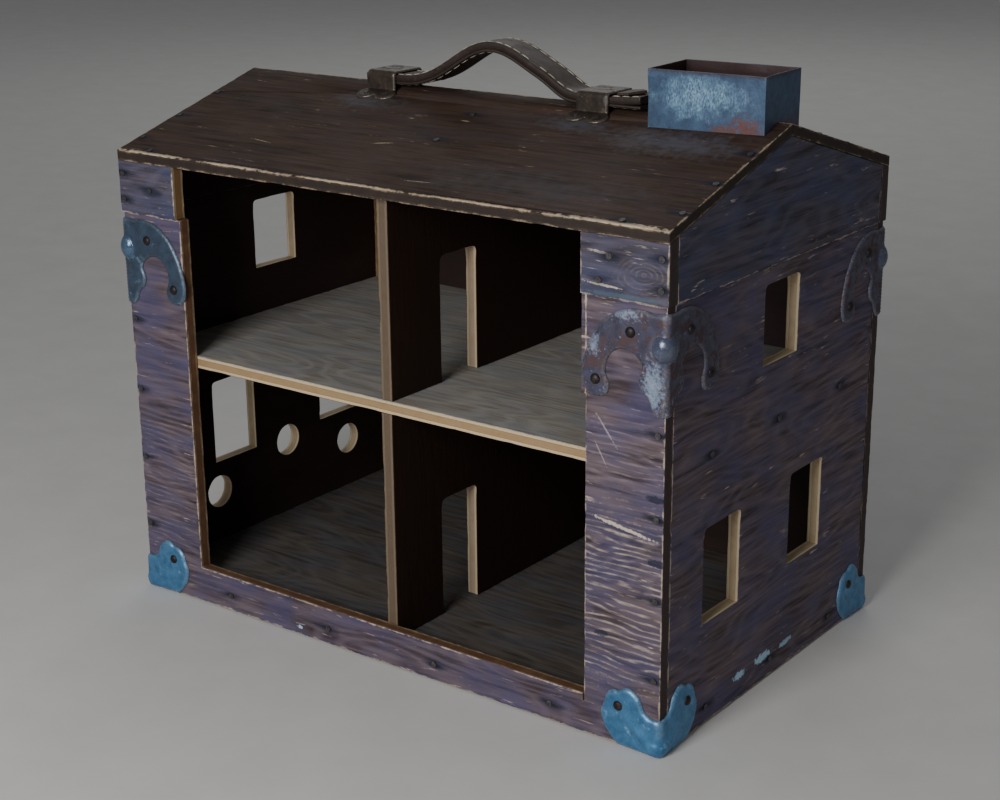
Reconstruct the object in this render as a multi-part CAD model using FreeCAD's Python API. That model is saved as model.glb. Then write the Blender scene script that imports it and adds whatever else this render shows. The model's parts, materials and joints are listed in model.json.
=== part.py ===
import FreeCAD, Part
import math
import os

# Plywood dollhouse made from a carrying box: four open-fronted rooms under a low pitched roof,
# steel trunk hardware on the corners, a folded sheet chimney and a leather carrying strap.
# All sizes are in millimetres. They are counted from the left front bottom corner of the
# wood, and every shape is moved to the centre of the base when it is written.

os.makedirs("parts", exist_ok=True)

# ---- overall size
width = 472.0
depth = 290.0
eave_height = 343.0
ridge_rise = 42.7
foot_plate = 1.5

# ---- boards
board = 9.5
roof_board = 7.5
band_step = 1.4
band_height = 46.0
base_underside = 7.2
upper_floor_top = 193.7

# ---- front opening: posts at both ends, a rail below, and a small step in the right post
rail_height = 27.5
left_post = 59.5
right_post = 59.5
right_post_upper = 63.0
post_step_height = 233.0
cap_left_width = 56.0
overcut_length = 6.0

# ---- partitions and doorways
lower_partition_shift = 1.2
upper_partition_shift = 2.0
door_width = 40.5
lower_door_start = 62.8
lower_door_height = 89.0
upper_door_start = 65.0
upper_door_height = 91.0
door_corner = 4.0

# ---- windows in the side walls: how far back they start, and the height of their sills
window_width = 46.0
lower_window_height = 66.5
upper_window_height = 54.5
window_corner = 3.0
left_front_window_start = 69.5
left_front_sill = 82.0
left_rear_window_from_back = 97.5
left_rear_sill = 84.5
right_front_window_start = 51.5
right_front_sill = 73.0
right_rear_window_from_back = 125.0
right_rear_sill = 76.0
left_upper_window_ahead = 19.5
left_upper_sill_above_floor = 36.3
right_upper_window_ahead = 24.5
right_upper_sill_above_floor = 36.8

# ---- round holes in the left wall
round_hole_radius = 13.0
front_hole_start = 72.0
front_hole_height = 57.0
middle_hole_shift = -1.7
middle_hole_height = 78.0
rear_hole_from_back = 64.0
rear_hole_height = 58.3

# ---- chimney
chimney_from_end = 10.45
chimney_set_back = 2.8
chimney_length = 83.5
chimney_depth = 51.7
chimney_rise = 30.9
chimney_sheet = 1.0
chimney_turn = 3.5
chimney_tab = 11.0

# ---- carrying strap and its loops
strap_width = 28.0
strap_thickness = 7.5
strap_lining_thickness = 2.4
strap_from_left = 129.0
strap_to_chimney = 11.55
strap_lift = 0.6
strap_crest = 30.0
strap_flat_beyond_loop = 4.0
loop_length = 26.0
left_loop_from_strap_end = 15.0
right_loop_from_strap_end = 37.5
loop_sheet = 1.4
loop_side_gap = 0.8
loop_top_gap = 0.6
loop_bend_radius = 3.0
loop_foot_length = 15.0
loop_foot_width = 34.0
tip_thickness = 2.0
tip_width = 20.0
tip_length = 18.0
tip_point = 9.0
tip_from_loop = 3.0

# ---- corner hardware, with rivet spots as (distance from the corner, height)
clamp_sheet = 1.4
clamp_below_seam = 69.0
ball_radius = 8.0
ball_below_seam = 26.0
ball_set_in = 2.6
corner_sheet = 1.5
corner_tail = 31.0
corner_tail_radius = 22.0
knob_radius = 7.0
knob_set_in = 3.2
knob_height = 5.5
rivet_radius = 3.0
rivet_dome = 1.7
rivet_grip = 7.0
upper_rivet_out = 24.5
upper_rivet_below_seam = 18.5
lower_rivet_out = 49.5
lower_rivet_below_seam = 52.0
foot_rivet_out = 30.0
foot_rivet_height = 28.3

# ---- nails
shank_radius = 0.9
shank_length = 16.0
short_shank_length = 7.5
head_radius = 2.1
head_thickness = 0.7
nail_gap = 0.05
rail_nail_from_left = 90.0
rail_nail_from_right = 87.0
lowest_post_nail = 52.0
post_nail_below_clamp = 12.0
cap_nail_rises = (10.0, 29.0)

# ---- battens behind the upper band
batten_thickness = 10.0
batten_width = 33.0
batten_width_right = 44.0

# ---- worked out from the sizes above
ridge_y = depth / 2.0
centre_x = width / 2.0
slope = ridge_rise / ridge_y
slope_angle = math.degrees(math.atan(slope))
roof_drop = roof_board / math.cos(math.radians(slope_angle))
ridge_height = eave_height + ridge_rise
seam_height = eave_height - band_height
band_board = board + band_step
inner_start = band_board
inner_end_x = width - band_board
inner_end_y = depth - band_board
base_top = base_underside + board
upper_floor_underside = upper_floor_top - board
half_board = board / 2.0
opening_left = left_post
opening_right = width - right_post
opening_right_upper = width - right_post_upper
cap_right_start = width - right_post_upper
lower_partition_left = centre_x + lower_partition_shift
upper_partition_left = centre_x + upper_partition_shift
chimney_left = width - chimney_from_end - chimney_length
chimney_centre_x = chimney_left + chimney_length / 2.0
chimney_centre_y = ridge_y + chimney_set_back
chimney_top = ridge_height + chimney_rise
strap_start = strap_from_left
strap_end = chimney_left - strap_to_chimney
left_loop_centre = strap_start + left_loop_from_strap_end
right_loop_centre = strap_end - right_loop_from_strap_end
clamp_foot_height = seam_height - clamp_below_seam
ball_height = seam_height - ball_below_seam
clamp_rivet_spots = (
    (upper_rivet_out, seam_height - upper_rivet_below_seam),
    (lower_rivet_out, seam_height - lower_rivet_below_seam),
)
foot_rivet_spots = ((foot_rivet_out, foot_rivet_height),)
margin = 60.0
far_above = ridge_height + margin


def block(x0, x1, y0, y1, z0, z1):
    """A box between six planes."""
    return Part.makeBox(x1 - x0, y1 - y0, z1 - z0, FreeCAD.Vector(x0, y0, z0))


def rod(radius, length, start, direction):
    """A round rod from a start point along a direction."""
    return Part.makeCylinder(radius, length, start, direction)


def prism_x(outline, x0, x1):
    """A straight prism along X from (y, z) corners."""
    corners = [FreeCAD.Vector(x0, y, z) for y, z in outline]
    corners.append(corners[0])
    face = Part.Face(Part.makePolygon(corners))
    return face.extrude(FreeCAD.Vector(x1 - x0, 0, 0))


def roof_top_at(y):
    """Height of the roof's upper face at a distance from the front."""
    return ridge_height - slope * abs(y - ridge_y)


def above_roof_underside(raise_by):
    """Everything above a surface parallel to the roof, raised from its underside."""
    low = eave_height - roof_drop + raise_by
    high = ridge_height - roof_drop + raise_by
    low_out = low - slope * margin
    corners = [
        (-margin, low_out),
        (ridge_y, high),
        (depth + margin, low_out),
        (depth + margin, far_above),
        (-margin, far_above),
    ]
    return prism_x(corners, -margin, width + margin)


def rounded_slot(axis_start, sill, opening_width, opening_height, corner, x0, x1):
    """A window or door shape in the Y-Z plane with rounded upper corners, run along X."""
    shape = block(x0, x1, axis_start, axis_start + opening_width, sill, sill + opening_height)
    edges = []
    for edge in shape.Edges:
        middle = edge.CenterOfMass
        along_x = abs(edge.BoundBox.XLength - (x1 - x0)) < 0.01
        if along_x and middle.z > sill + opening_height - 0.1:
            edges.append(edge)
    return shape.makeFillet(corner, edges)


def join(shapes):
    """One solid from several that meet."""
    whole = shapes[0]
    for extra in shapes[1:]:
        whole = whole.fuse(extra)
    return whole.removeSplitter()


def mirrored_in_x(shape):
    """The same shape on the other side of the middle of the width."""
    return shape.mirror(FreeCAD.Vector(centre_x, 0, 0), FreeCAD.Vector(1, 0, 0))


def mirrored_in_y(shape):
    """The same shape on the other side of the middle of the depth."""
    return shape.mirror(FreeCAD.Vector(0, ridge_y, 0), FreeCAD.Vector(0, 1, 0))


def save(name, shape):
    """Move a shape to the centre of the base and write it."""
    placed = shape.copy()
    placed.translate(FreeCAD.Vector(-width / 2.0, -depth / 2.0, foot_plate))
    placed.exportStep("parts/" + name + ".step")


def save_group(name, shapes):
    """Write several separate solids as one group."""
    save(name, Part.makeCompound(shapes))


# ---- nails: every nail is a start point on a face and the direction it is driven in
def nail_body(start, direction, gap, with_head):
    """A nail, or the slightly wider hole it sits in."""
    unit = FreeCAD.Vector(direction).normalize()
    shank = rod(shank_radius + gap, shank_length + gap, start, unit)
    if not with_head:
        return shank
    head = rod(head_radius, head_thickness, start - unit * head_thickness, unit)
    return shank.fuse(head)


def points(values):
    """Vectors from (x, y, z) triples."""
    return [FreeCAD.Vector(*value) for value in values]


inward = FreeCAD.Vector(0, 1, 0)
forward = FreeCAD.Vector(0, -1, 0)
rightward = FreeCAD.Vector(1, 0, 0)
leftward = FreeCAD.Vector(-1, 0, 0)
upward = FreeCAD.Vector(0, 0, 1)
downward = FreeCAD.Vector(0, 0, -1)


def spaced(first, last, count):
    """Evenly spaced places from the first to the last."""
    return [first + (last - first) * step / (count - 1) for step in range(count)]


left_edge = band_step + half_board
right_edge = width - left_edge
post_heights = spaced(lowest_post_nail, clamp_foot_height - post_nail_below_clamp, 4)
rail_places = spaced(rail_nail_from_left, width - rail_nail_from_right, 4)
base_middle = base_underside + half_board
floor_middle = upper_floor_top - half_board
cap_heights = [seam_height + rise for rise in cap_nail_rises]

frame_nail_points = []
for height in post_heights:
    frame_nail_points.append((left_edge, band_step, height))
    frame_nail_points.append((right_edge, band_step, height))
for across in rail_places:
    frame_nail_points.append((across, band_step, base_middle))
frame_nails = [(point, inward) for point in points(frame_nail_points)]

cap_nail_points = []
for height in cap_heights:
    cap_nail_points.append((half_board, 0.0, height))
    cap_nail_points.append((width - half_board, 0.0, height))
cap_nail_points.append((32.0, 0.0, seam_height + 19.0))
cap_nail_points.append((width - 49.5, 0.0, seam_height + 10.2))
cap_nail_points.append((width - 42.0, 0.0, seam_height + 26.0))
cap_nails = [(point, inward) for point in points(cap_nail_points)]

back_nail_points = []
for height in post_heights:
    back_nail_points.append((left_edge, depth - band_step, height))
    back_nail_points.append((right_edge, depth - band_step, height))
for across in rail_places:
    back_nail_points.append((across, depth - band_step, base_middle))
    back_nail_points.append((across, depth - band_step, floor_middle))
for height in cap_heights:
    back_nail_points.append((half_board, depth, height))
    back_nail_points.append((width - half_board, depth, height))
back_nails = [(point, forward) for point in points(back_nail_points)]

wall_nails = []
for along in (0.2 * depth, ridge_y, 0.8 * depth):
    for height in (base_middle, floor_middle):
        wall_nails.append((FreeCAD.Vector(band_step, along, height), rightward))
        wall_nails.append((FreeCAD.Vector(width - band_step, along, height), leftward))

roof_nail_places = []
for share in (0.075, 0.205, 0.345):
    for across in (half_board, width - half_board):
        roof_nail_places.append((across, share * depth))
roof_nail_places.append((30.0, half_board))
roof_nail_places.append((width - 36.0, half_board))
for ahead in (75.0, 35.0):
    roof_nail_places.append((upper_partition_left + half_board, ridge_y - ahead))
roof_nails = []
for across, along in roof_nail_places:
    for side in (along, depth - along):
        roof_nails.append((FreeCAD.Vector(across, side, roof_top_at(side)), downward))

all_nails = frame_nails + cap_nails + back_nails + wall_nails + roof_nails
all_holes = [nail_body(start, way, nail_gap, False) for start, way in all_nails]
for across, height in clamp_rivet_spots + foot_rivet_spots:
    rivet_seats = (
        (band_step + across, band_step, inward),
        (width - band_step - across, band_step, inward),
        (band_step + across, depth - band_step, forward),
        (width - band_step - across, depth - band_step, forward),
        (band_step, band_step + across, rightward),
        (band_step, depth - band_step - across, rightward),
        (width - band_step, band_step + across, leftward),
        (width - band_step, depth - band_step - across, leftward),
    )
    for seat_x, seat_y, way in rivet_seats:
        seat = FreeCAD.Vector(seat_x, seat_y, height)
        all_holes.append(rod(shank_radius + nail_gap, rivet_grip + 0.2, seat, way))


def nailed(shape):
    """Cut the nail holes that reach a board."""
    box = shape.BoundBox
    reaching = [hole for hole in all_holes if box.intersect(hole.BoundBox)]
    if not reaching:
        return shape
    return shape.cut(Part.makeCompound(reaching))


def slope_nail(seat, length):
    """A nail driven straight down through the roof, its head lying flat on the slope."""
    tilt = slope_angle if seat.y < ridge_y else -slope_angle
    head = rod(head_radius, head_thickness, FreeCAD.Vector(0, 0, 0), upward)
    head.rotate(FreeCAD.Vector(0, 0, 0), FreeCAD.Vector(1, 0, 0), tilt)
    head.translate(seat)
    return head.fuse(rod(shank_radius, length, seat, downward))


def slope_nail_hole(seat, length):
    """The hole that a roof nail sits in, open at the top."""
    clear = 3.0
    start = seat + upward * clear
    return rod(shank_radius + nail_gap, length + clear + 1.0, start, downward)


def driven(nails):
    """The nails themselves."""
    shapes = []
    for start, way in nails:
        if way == downward:
            shapes.append(slope_nail(start, shank_length))
        else:
            shapes.append(nail_body(start, way, 0.0, True))
    return shapes


# ---- floors
base = block(inner_start, inner_end_x, inner_start, inner_end_y, base_underside, base_top)
save("base_board", nailed(base))
floor = block(
    inner_start, inner_end_x, inner_start, inner_end_y, upper_floor_underside, upper_floor_top
)
save("upper_floor", nailed(floor))

# ---- front frame: one sheet with the room opening sawn out of it
frame = block(band_step, width - band_step, band_step, inner_start, 0.0, seam_height)
through = band_board + board
above_seam = seam_height + 5.0
saw_kerf = 1.0
wide_part = block(opening_left, opening_right, 0.0, through, rail_height, post_step_height)
upper_part = block(opening_left, opening_right_upper, 0.0, through, rail_height, above_seam)
overcut_foot = rail_height - overcut_length
overcut = block(opening_right - saw_kerf, opening_right, 0.0, through, overcut_foot, rail_height + 1.0)
frame = frame.cut(wide_part).cut(upper_part).cut(overcut)
save("front_frame", nailed(frame))

# ---- side walls
left_wall = block(band_step, inner_start, inner_start, inner_end_y, 0.0, seam_height)
right_wall = block(inner_end_x, width - band_step, inner_start, inner_end_y, 0.0, seam_height)


def with_window(wall, start, sill, height):
    """A side wall with a window sawn through it."""
    x0 = wall.BoundBox.XMin - 5.0
    x1 = wall.BoundBox.XMax + 5.0
    return wall.cut(rounded_slot(start, sill, window_width, height, window_corner, x0, x1))


left_rear_start = depth - left_rear_window_from_back
right_rear_start = depth - right_rear_window_from_back
left_upper_start = ridge_y - left_upper_window_ahead
right_upper_start = ridge_y - right_upper_window_ahead
left_upper_sill = upper_floor_top + left_upper_sill_above_floor
right_upper_sill = upper_floor_top + right_upper_sill_above_floor
left_wall = with_window(left_wall, left_upper_start, left_upper_sill, upper_window_height)
left_wall = with_window(left_wall, left_front_window_start, left_front_sill, lower_window_height)
left_wall = with_window(left_wall, left_rear_start, left_rear_sill, lower_window_height)
right_wall = with_window(right_wall, right_upper_start, right_upper_sill, upper_window_height)
right_wall = with_window(right_wall, right_front_window_start, right_front_sill, lower_window_height)
right_wall = with_window(right_wall, right_rear_start, right_rear_sill, lower_window_height)

between_windows = (left_front_window_start + window_width + left_rear_start) / 2.0
round_holes = (
    (front_hole_start, front_hole_height),
    (between_windows + middle_hole_shift, middle_hole_height),
    (depth - rear_hole_from_back, rear_hole_height),
)
for along, height in round_holes:
    bored = rod(round_hole_radius, 4.0 * board, FreeCAD.Vector(-board, along, height), rightward)
    left_wall = left_wall.cut(bored)
save("left_wall", nailed(left_wall))
save("right_wall", nailed(right_wall))

# ---- back of the lower body
back = block(band_step, width - band_step, inner_end_y, depth - band_step, 0.0, seam_height)
save("back_panel", nailed(back))

# ---- upper band: posts, gables and back strip, a little proud of the body below
over_roof = above_roof_underside(0.0)
cap_left = block(0.0, cap_left_width, 0.0, band_board, seam_height, far_above).cut(over_roof)
cap_right = block(cap_right_start, width, 0.0, band_board, seam_height, far_above).cut(over_roof)
gable_left = block(0.0, band_board, band_board, inner_end_y, seam_height, far_above)
gable_right = block(inner_end_x, width, band_board, inner_end_y, seam_height, far_above)
back_band = block(0.0, width, inner_end_y, depth, seam_height, far_above).cut(over_roof)
save("front_cap_left", nailed(cap_left))
save("front_cap_right", nailed(cap_right))
save("left_gable", nailed(gable_left.cut(over_roof)))
save("right_gable", nailed(gable_right.cut(over_roof)))
save("back_band", nailed(back_band))

# ---- battens that tie the band to the body
def front_batten(x0, x1):
    """An upright batten behind the front, cut to the slope of the roof."""
    upright = block(x0, x1, inner_start, inner_start + batten_thickness, upper_floor_top, far_above)
    return upright.cut(over_roof)


batten_left = front_batten(inner_start, inner_start + batten_width)
batten_right = front_batten(inner_end_x - batten_width_right, inner_end_x)
save("front_batten_left", nailed(batten_left))
save("front_batten_right", nailed(batten_right))
save("rear_batten_left", nailed(mirrored_in_y(batten_left)))
save("rear_batten_right", nailed(mirrored_in_x(mirrored_in_y(batten_left))))


# ---- partitions
def partition(left, low, high, door_start, door_height):
    """A wall between two rooms with a doorway sawn up from its foot."""
    wall = block(left, left + board, inner_start, inner_end_y, low, high).cut(over_roof)
    below = low - board
    rise = door_height + board
    left_of = left - board
    right_of = left + 2.0 * board
    doorway = rounded_slot(door_start, below, door_width, rise, door_corner, left_of, right_of)
    return wall.cut(doorway)


lower_partition = partition(
    lower_partition_left, base_top, upper_floor_underside, lower_door_start, lower_door_height
)
save("lower_partition", nailed(lower_partition))
upper_partition = partition(
    upper_partition_left, upper_floor_top, far_above, upper_door_start, upper_door_height
)
save("upper_partition", nailed(upper_partition))

# ---- roof: two boards meeting in an upright joint at the ridge
roof_points = [
    (0.0, eave_height - roof_drop),
    (ridge_y, ridge_height - roof_drop),
    (ridge_y, ridge_height),
    (0.0, eave_height),
]
roof_front = prism_x(roof_points, 0.0, width)
roof_rear = mirrored_in_y(roof_front)

# ---- chimney: an open folded sleeve with inward tabs resting on both slopes
turn_point = FreeCAD.Vector(chimney_centre_x, chimney_centre_y, 0.0)
outer_half_x = chimney_length / 2.0
outer_half_y = chimney_depth / 2.0


def turned(shape):
    """Turn a shape about the chimney's upright middle."""
    copy = shape.copy()
    copy.rotate(turn_point, FreeCAD.Vector(0, 0, 1), chimney_turn)
    return copy


def around_chimney(inset, z0, z1):
    """An upright block inside the chimney's outline."""
    return block(
        chimney_centre_x - outer_half_x + inset,
        chimney_centre_x + outer_half_x - inset,
        chimney_centre_y - outer_half_y + inset,
        chimney_centre_y + outer_half_y - inset,
        z0,
        z1,
    )


over_top_face = above_roof_underside(roof_drop)
over_tab = above_roof_underside(roof_drop + chimney_sheet)
low_start = eave_height - margin
sleeve = around_chimney(0.0, low_start, chimney_top)
sleeve = sleeve.cut(around_chimney(chimney_sheet, low_start - 1.0, chimney_top + 1.0))
chimney = turned(sleeve).common(over_top_face)
tab_edge = outer_half_y - chimney_sheet
tab_half_length = outer_half_x - chimney_sheet
tab_start = chimney_centre_x - tab_half_length
tab_end = chimney_centre_x + tab_half_length
for side in (-1.0, 1.0):
    fold = chimney_centre_y + side * tab_edge
    free_edge = fold - side * chimney_tab
    tab = block(tab_start, tab_end, min(fold, free_edge), max(fold, free_edge), low_start, chimney_top)
    chimney = chimney.fuse(turned(tab).common(over_top_face).cut(over_tab))
chimney = chimney.removeSplitter()

chimney_nail_shapes = []
for across in (-26.0, 26.0):
    for side in (-1.0, 1.0):
        along = chimney_centre_y + side * (tab_edge - 0.55 * chimney_tab)
        spot = FreeCAD.Vector(chimney_centre_x + across, along, 0.0)
        seat = turned(Part.Vertex(spot)).Point
        seat.z = roof_top_at(seat.y) + chimney_sheet
        chimney_nail_shapes.append(slope_nail(seat, short_shank_length))
        hole = slope_nail_hole(seat, short_shank_length)
        chimney = chimney.cut(hole)
        roof_front = roof_front.cut(hole)
        roof_rear = roof_rear.cut(hole)
save("chimney_sleeve", chimney)
save_group("chimney_nails", chimney_nail_shapes)

# ---- metal loops that hold the strap
strap_underside = ridge_height + strap_lift
strap_topside = strap_underside + strap_thickness
loop_inner_half = strap_width / 2.0 + loop_side_gap
loop_outer_half = loop_inner_half + loop_sheet
loop_inner_top = strap_topside + loop_top_gap
loop_outer_top = loop_inner_top + loop_sheet
over_foot = above_roof_underside(roof_drop + loop_sheet)


loop_foot_base = eave_height
ear_radius = loop_foot_width / 4.0
ear_shift = loop_foot_width / 2.0 - ear_radius
ear_reach = loop_outer_half + loop_foot_length - ear_radius


def strap_loop(middle):
    """A stamped loop astride the ridge with a flared foot on each slope."""
    x0 = middle - loop_length / 2.0
    x1 = middle + loop_length / 2.0
    near = ridge_y - loop_outer_half
    far = ridge_y + loop_outer_half
    outer = block(x0, x1, near, far, loop_foot_base, loop_outer_top)
    top_edges = []
    for edge in outer.Edges:
        if edge.CenterOfMass.z > loop_outer_top - 0.1 and edge.BoundBox.XLength > 0.5 * loop_length:
            top_edges.append(edge)
    outer = outer.makeFillet(loop_bend_radius, top_edges)
    inner = block(
        x0 - 1.0,
        x1 + 1.0,
        ridge_y - loop_inner_half,
        ridge_y + loop_inner_half,
        loop_foot_base - 1.0,
        loop_inner_top,
    )
    pieces = [outer.cut(inner).common(over_top_face)]
    for side in (-1.0, 1.0):
        near = ridge_y + side * loop_inner_half
        far = ridge_y + side * (ear_reach + 0.4 * ear_radius)
        foot = block(x0, x1, min(near, far), max(near, far), loop_foot_base, far_above)
        for shift in (-ear_shift, ear_shift):
            ear_centre = FreeCAD.Vector(middle + shift, ridge_y + side * ear_reach, loop_foot_base)
            foot = foot.fuse(rod(ear_radius, far_above - loop_foot_base, ear_centre, upward))
        pieces.append(foot.common(over_top_face).cut(over_foot))
    return join(pieces)


loop_nail_shapes = []
for name, middle in (("handle_loop_left", left_loop_centre), ("handle_loop_right", right_loop_centre)):
    loop = strap_loop(middle)
    for shift in (-ear_shift, ear_shift):
        for side in (-1.0, 1.0):
            seat = FreeCAD.Vector(middle + shift, ridge_y + side * ear_reach, 0.0)
            seat.z = roof_top_at(seat.y) + loop_sheet
            loop_nail_shapes.append(slope_nail(seat, short_shank_length))
            hole = slope_nail_hole(seat, short_shank_length)
            loop = loop.cut(hole)
            roof_front = roof_front.cut(hole)
            roof_rear = roof_rear.cut(hole)
    save(name, loop)
save_group("loop_nails", loop_nail_shapes)
save("roof_front", nailed(roof_front))
save("roof_rear", nailed(roof_rear))

# ---- leather strap: flat ends through the loops and a raised arch between them
strap_middle = strap_underside + strap_thickness / 2.0
gap_start = left_loop_centre + loop_length / 2.0
gap_end = right_loop_centre - loop_length / 2.0
gap_length = gap_end - gap_start
arch_shares = (
    (0.10, 0.02),
    (0.20, 0.17),
    (0.29, 0.42),
    (0.38, 0.72),
    (0.49, 0.97),
    (0.60, 0.95),
    (0.70, 0.72),
    (0.80, 0.45),
    (0.89, 0.17),
)
centre_line = [FreeCAD.Vector(gap_start + strap_flat_beyond_loop, 0.0, strap_middle)]
for along_share, rise_share in arch_shares:
    along = gap_start + along_share * gap_length
    centre_line.append(FreeCAD.Vector(along, 0.0, strap_middle + rise_share * strap_crest))
centre_line.append(FreeCAD.Vector(gap_end - strap_flat_beyond_loop, 0.0, strap_middle))


def offset_line(line, distance):
    """Points moved square to a line in the X-Z plane."""
    moved = []
    for index, here in enumerate(line):
        before = line[max(index - 1, 0)]
        after = line[min(index + 1, len(line) - 1)]
        run = (after - before).normalize()
        moved.append(here + FreeCAD.Vector(-run.z, 0.0, run.x) * distance)
    return moved


def strap_layer(z_low, z_high):
    """The strap's outline between two distances from its middle, run across its width."""
    level_start = FreeCAD.Vector(strap_start, 0.0, strap_middle)
    level_end = FreeCAD.Vector(strap_end, 0.0, strap_middle)
    upper = offset_line(centre_line, z_high)
    lower = offset_line(centre_line, z_low)
    for end in (0, -1):
        upper[end] = centre_line[end] + FreeCAD.Vector(0, 0, z_high)
        lower[end] = centre_line[end] + FreeCAD.Vector(0, 0, z_low)
    level = FreeCAD.Vector(1, 0, 0)
    upper_curve = Part.BSplineCurve()
    upper_curve.interpolate(Points=upper, InitialTangent=level, FinalTangent=level)
    lower_curve = Part.BSplineCurve()
    lower_curve.interpolate(Points=lower, InitialTangent=level, FinalTangent=level)
    up = FreeCAD.Vector(0, 0, z_high)
    down = FreeCAD.Vector(0, 0, z_low)
    edges = [
        Part.makeLine(level_start + up, upper[0]),
        upper_curve.toShape(),
        Part.makeLine(upper[-1], level_end + up),
        Part.makeLine(level_end + up, level_end + down),
        Part.makeLine(level_end + down, lower[-1]),
        lower_curve.toShape(),
        Part.makeLine(lower[0], level_start + down),
        Part.makeLine(level_start + down, level_start + up),
    ]
    wire = Part.Wire(Part.__sortEdges__(edges))
    face = Part.Face(wire)
    side = face.extrude(FreeCAD.Vector(0, strap_width, 0))
    side.translate(FreeCAD.Vector(0, ridge_y - strap_width / 2.0, 0))
    return side


half_thick = strap_thickness / 2.0
layer_line = strap_lining_thickness - half_thick
lining = strap_layer(-half_thick, layer_line)
facing = strap_layer(layer_line, half_thick)
save("strap_lining", lining)
save("strap_facing", facing)


def strap_tip(x0, x1):
    """A pointed leather end stitched on top of the strap."""
    z0 = strap_topside
    half = tip_width / 2.0
    outline = points(
        (
            (x0, ridge_y - half, z0),
            (x1 - tip_point, ridge_y - half, z0),
            (x1, ridge_y, z0),
            (x1 - tip_point, ridge_y + half, z0),
            (x0, ridge_y + half, z0),
            (x0, ridge_y - half, z0),
        )
    )
    return Part.Face(Part.makePolygon(outline)).extrude(FreeCAD.Vector(0, 0, tip_thickness))


right_loop_end = right_loop_centre + loop_length / 2.0
tip_start = right_loop_end + tip_from_loop
save("strap_tip", strap_tip(tip_start, tip_start + tip_length))

# ---- stamped corner clamps under the seam and cap plates at the foot corners
clamp_outline = (
    (0.0, 65.0),
    (8.0, 64.0),
    (16.0, 65.0),
    (26.0, 64.5),
    (36.0, 61.0),
    (46.0, 53.5),
    (54.0, 42.0),
    (58.5, 30.0),
    (60.5, 19.0),
    (58.0, 9.0),
    (50.0, 5.5),
    (42.0, 8.0),
    (40.5, 15.0),
    (43.0, 22.0),
    (42.0, 30.0),
    (37.0, 36.5),
    (29.0, 39.0),
    (21.0, 36.0),
    (16.5, 30.0),
    (19.0, 22.0),
    (17.0, 15.0),
    (12.0, 11.0),
    (9.0, 4.0),
    (5.0, 0.0),
    (0.0, 0.0),
)
foot_outline = (
    (0.0, 25.0),
    (6.0, 25.5),
    (11.0, 29.0),
    (14.0, 36.0),
    (20.0, 40.5),
    (27.0, 41.0),
    (35.0, 37.5),
    (41.0, 30.0),
    (43.5, 21.0),
    (42.5, 11.0),
    (38.0, 4.0),
    (31.0, 0.0),
    (0.0, 0.0),
)


def plate_from(outline, base_height, sheet, straight_tail):
    """A stamped plate on the front face: a smooth edge closed by straight sides."""
    curved = [FreeCAD.Vector(band_step + u, band_step, base_height + v) for u, v in outline]
    smooth_points = curved[: len(curved) - straight_tail]
    curve = Part.BSplineCurve()
    curve.interpolate(smooth_points)
    corners = [smooth_points[-1]] + curved[len(curved) - straight_tail:] + [smooth_points[0]]
    edges = [curve.toShape()]
    for first, second in zip(corners[:-1], corners[1:]):
        edges.append(Part.makeLine(first, second))
    face = Part.Face(Part.Wire(edges))
    return face.extrude(FreeCAD.Vector(0, -sheet, 0))


def swapped_to_side(shape):
    """Swap a front-face shape onto the neighbouring side face through the corner."""
    middle = FreeCAD.Vector(band_step, band_step, 0)
    return shape.mirror(middle, FreeCAD.Vector(1, -1, 0))


def dome(u, height, sheet):
    """A round rivet head with its shank on the front face."""
    seat_y = band_step - sheet
    centre = FreeCAD.Vector(band_step + u, seat_y, height)
    ball_size = (rivet_radius ** 2 + rivet_dome ** 2) / (2.0 * rivet_dome)
    ball = Part.makeSphere(ball_size, centre + FreeCAD.Vector(0, ball_size - rivet_dome, 0))
    reach = 2.0 * rivet_radius
    low = height - reach
    high = height + reach
    outside = block(centre.x - reach, centre.x + reach, seat_y - reach, seat_y, low, high)
    cap = ball.common(outside)
    shank = rod(shank_radius, sheet + rivet_grip, centre, inward)
    return cap.fuse(shank)


def dome_hole(u, height, sheet):
    """The hole one rivet sits in."""
    centre = FreeCAD.Vector(band_step + u, band_step - sheet - 2.0, height)
    return rod(shank_radius + nail_gap, sheet + 9.2, centre, inward)


def corner_fill(low, high, sheet):
    """The upright square that joins the front and side plates round the corner."""
    return block(band_step - sheet, band_step, band_step - sheet, band_step, low, high)


clamp_top = clamp_foot_height + clamp_outline[0][1]
front_plate = plate_from(clamp_outline, clamp_foot_height, clamp_sheet, 1)
clamp = join(
    [
        front_plate,
        swapped_to_side(front_plate),
        corner_fill(clamp_foot_height, clamp_top, clamp_sheet),
    ]
)
ball_inset = band_step + ball_set_in
ball = Part.makeSphere(ball_radius, FreeCAD.Vector(ball_inset, ball_inset, ball_height))
wood_edge = band_step + 4.0 * ball_radius
wood_corner = block(band_step, wood_edge, band_step, wood_edge, clamp_foot_height, seam_height)
clamp = join([clamp, ball.cut(wood_corner)])

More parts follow.
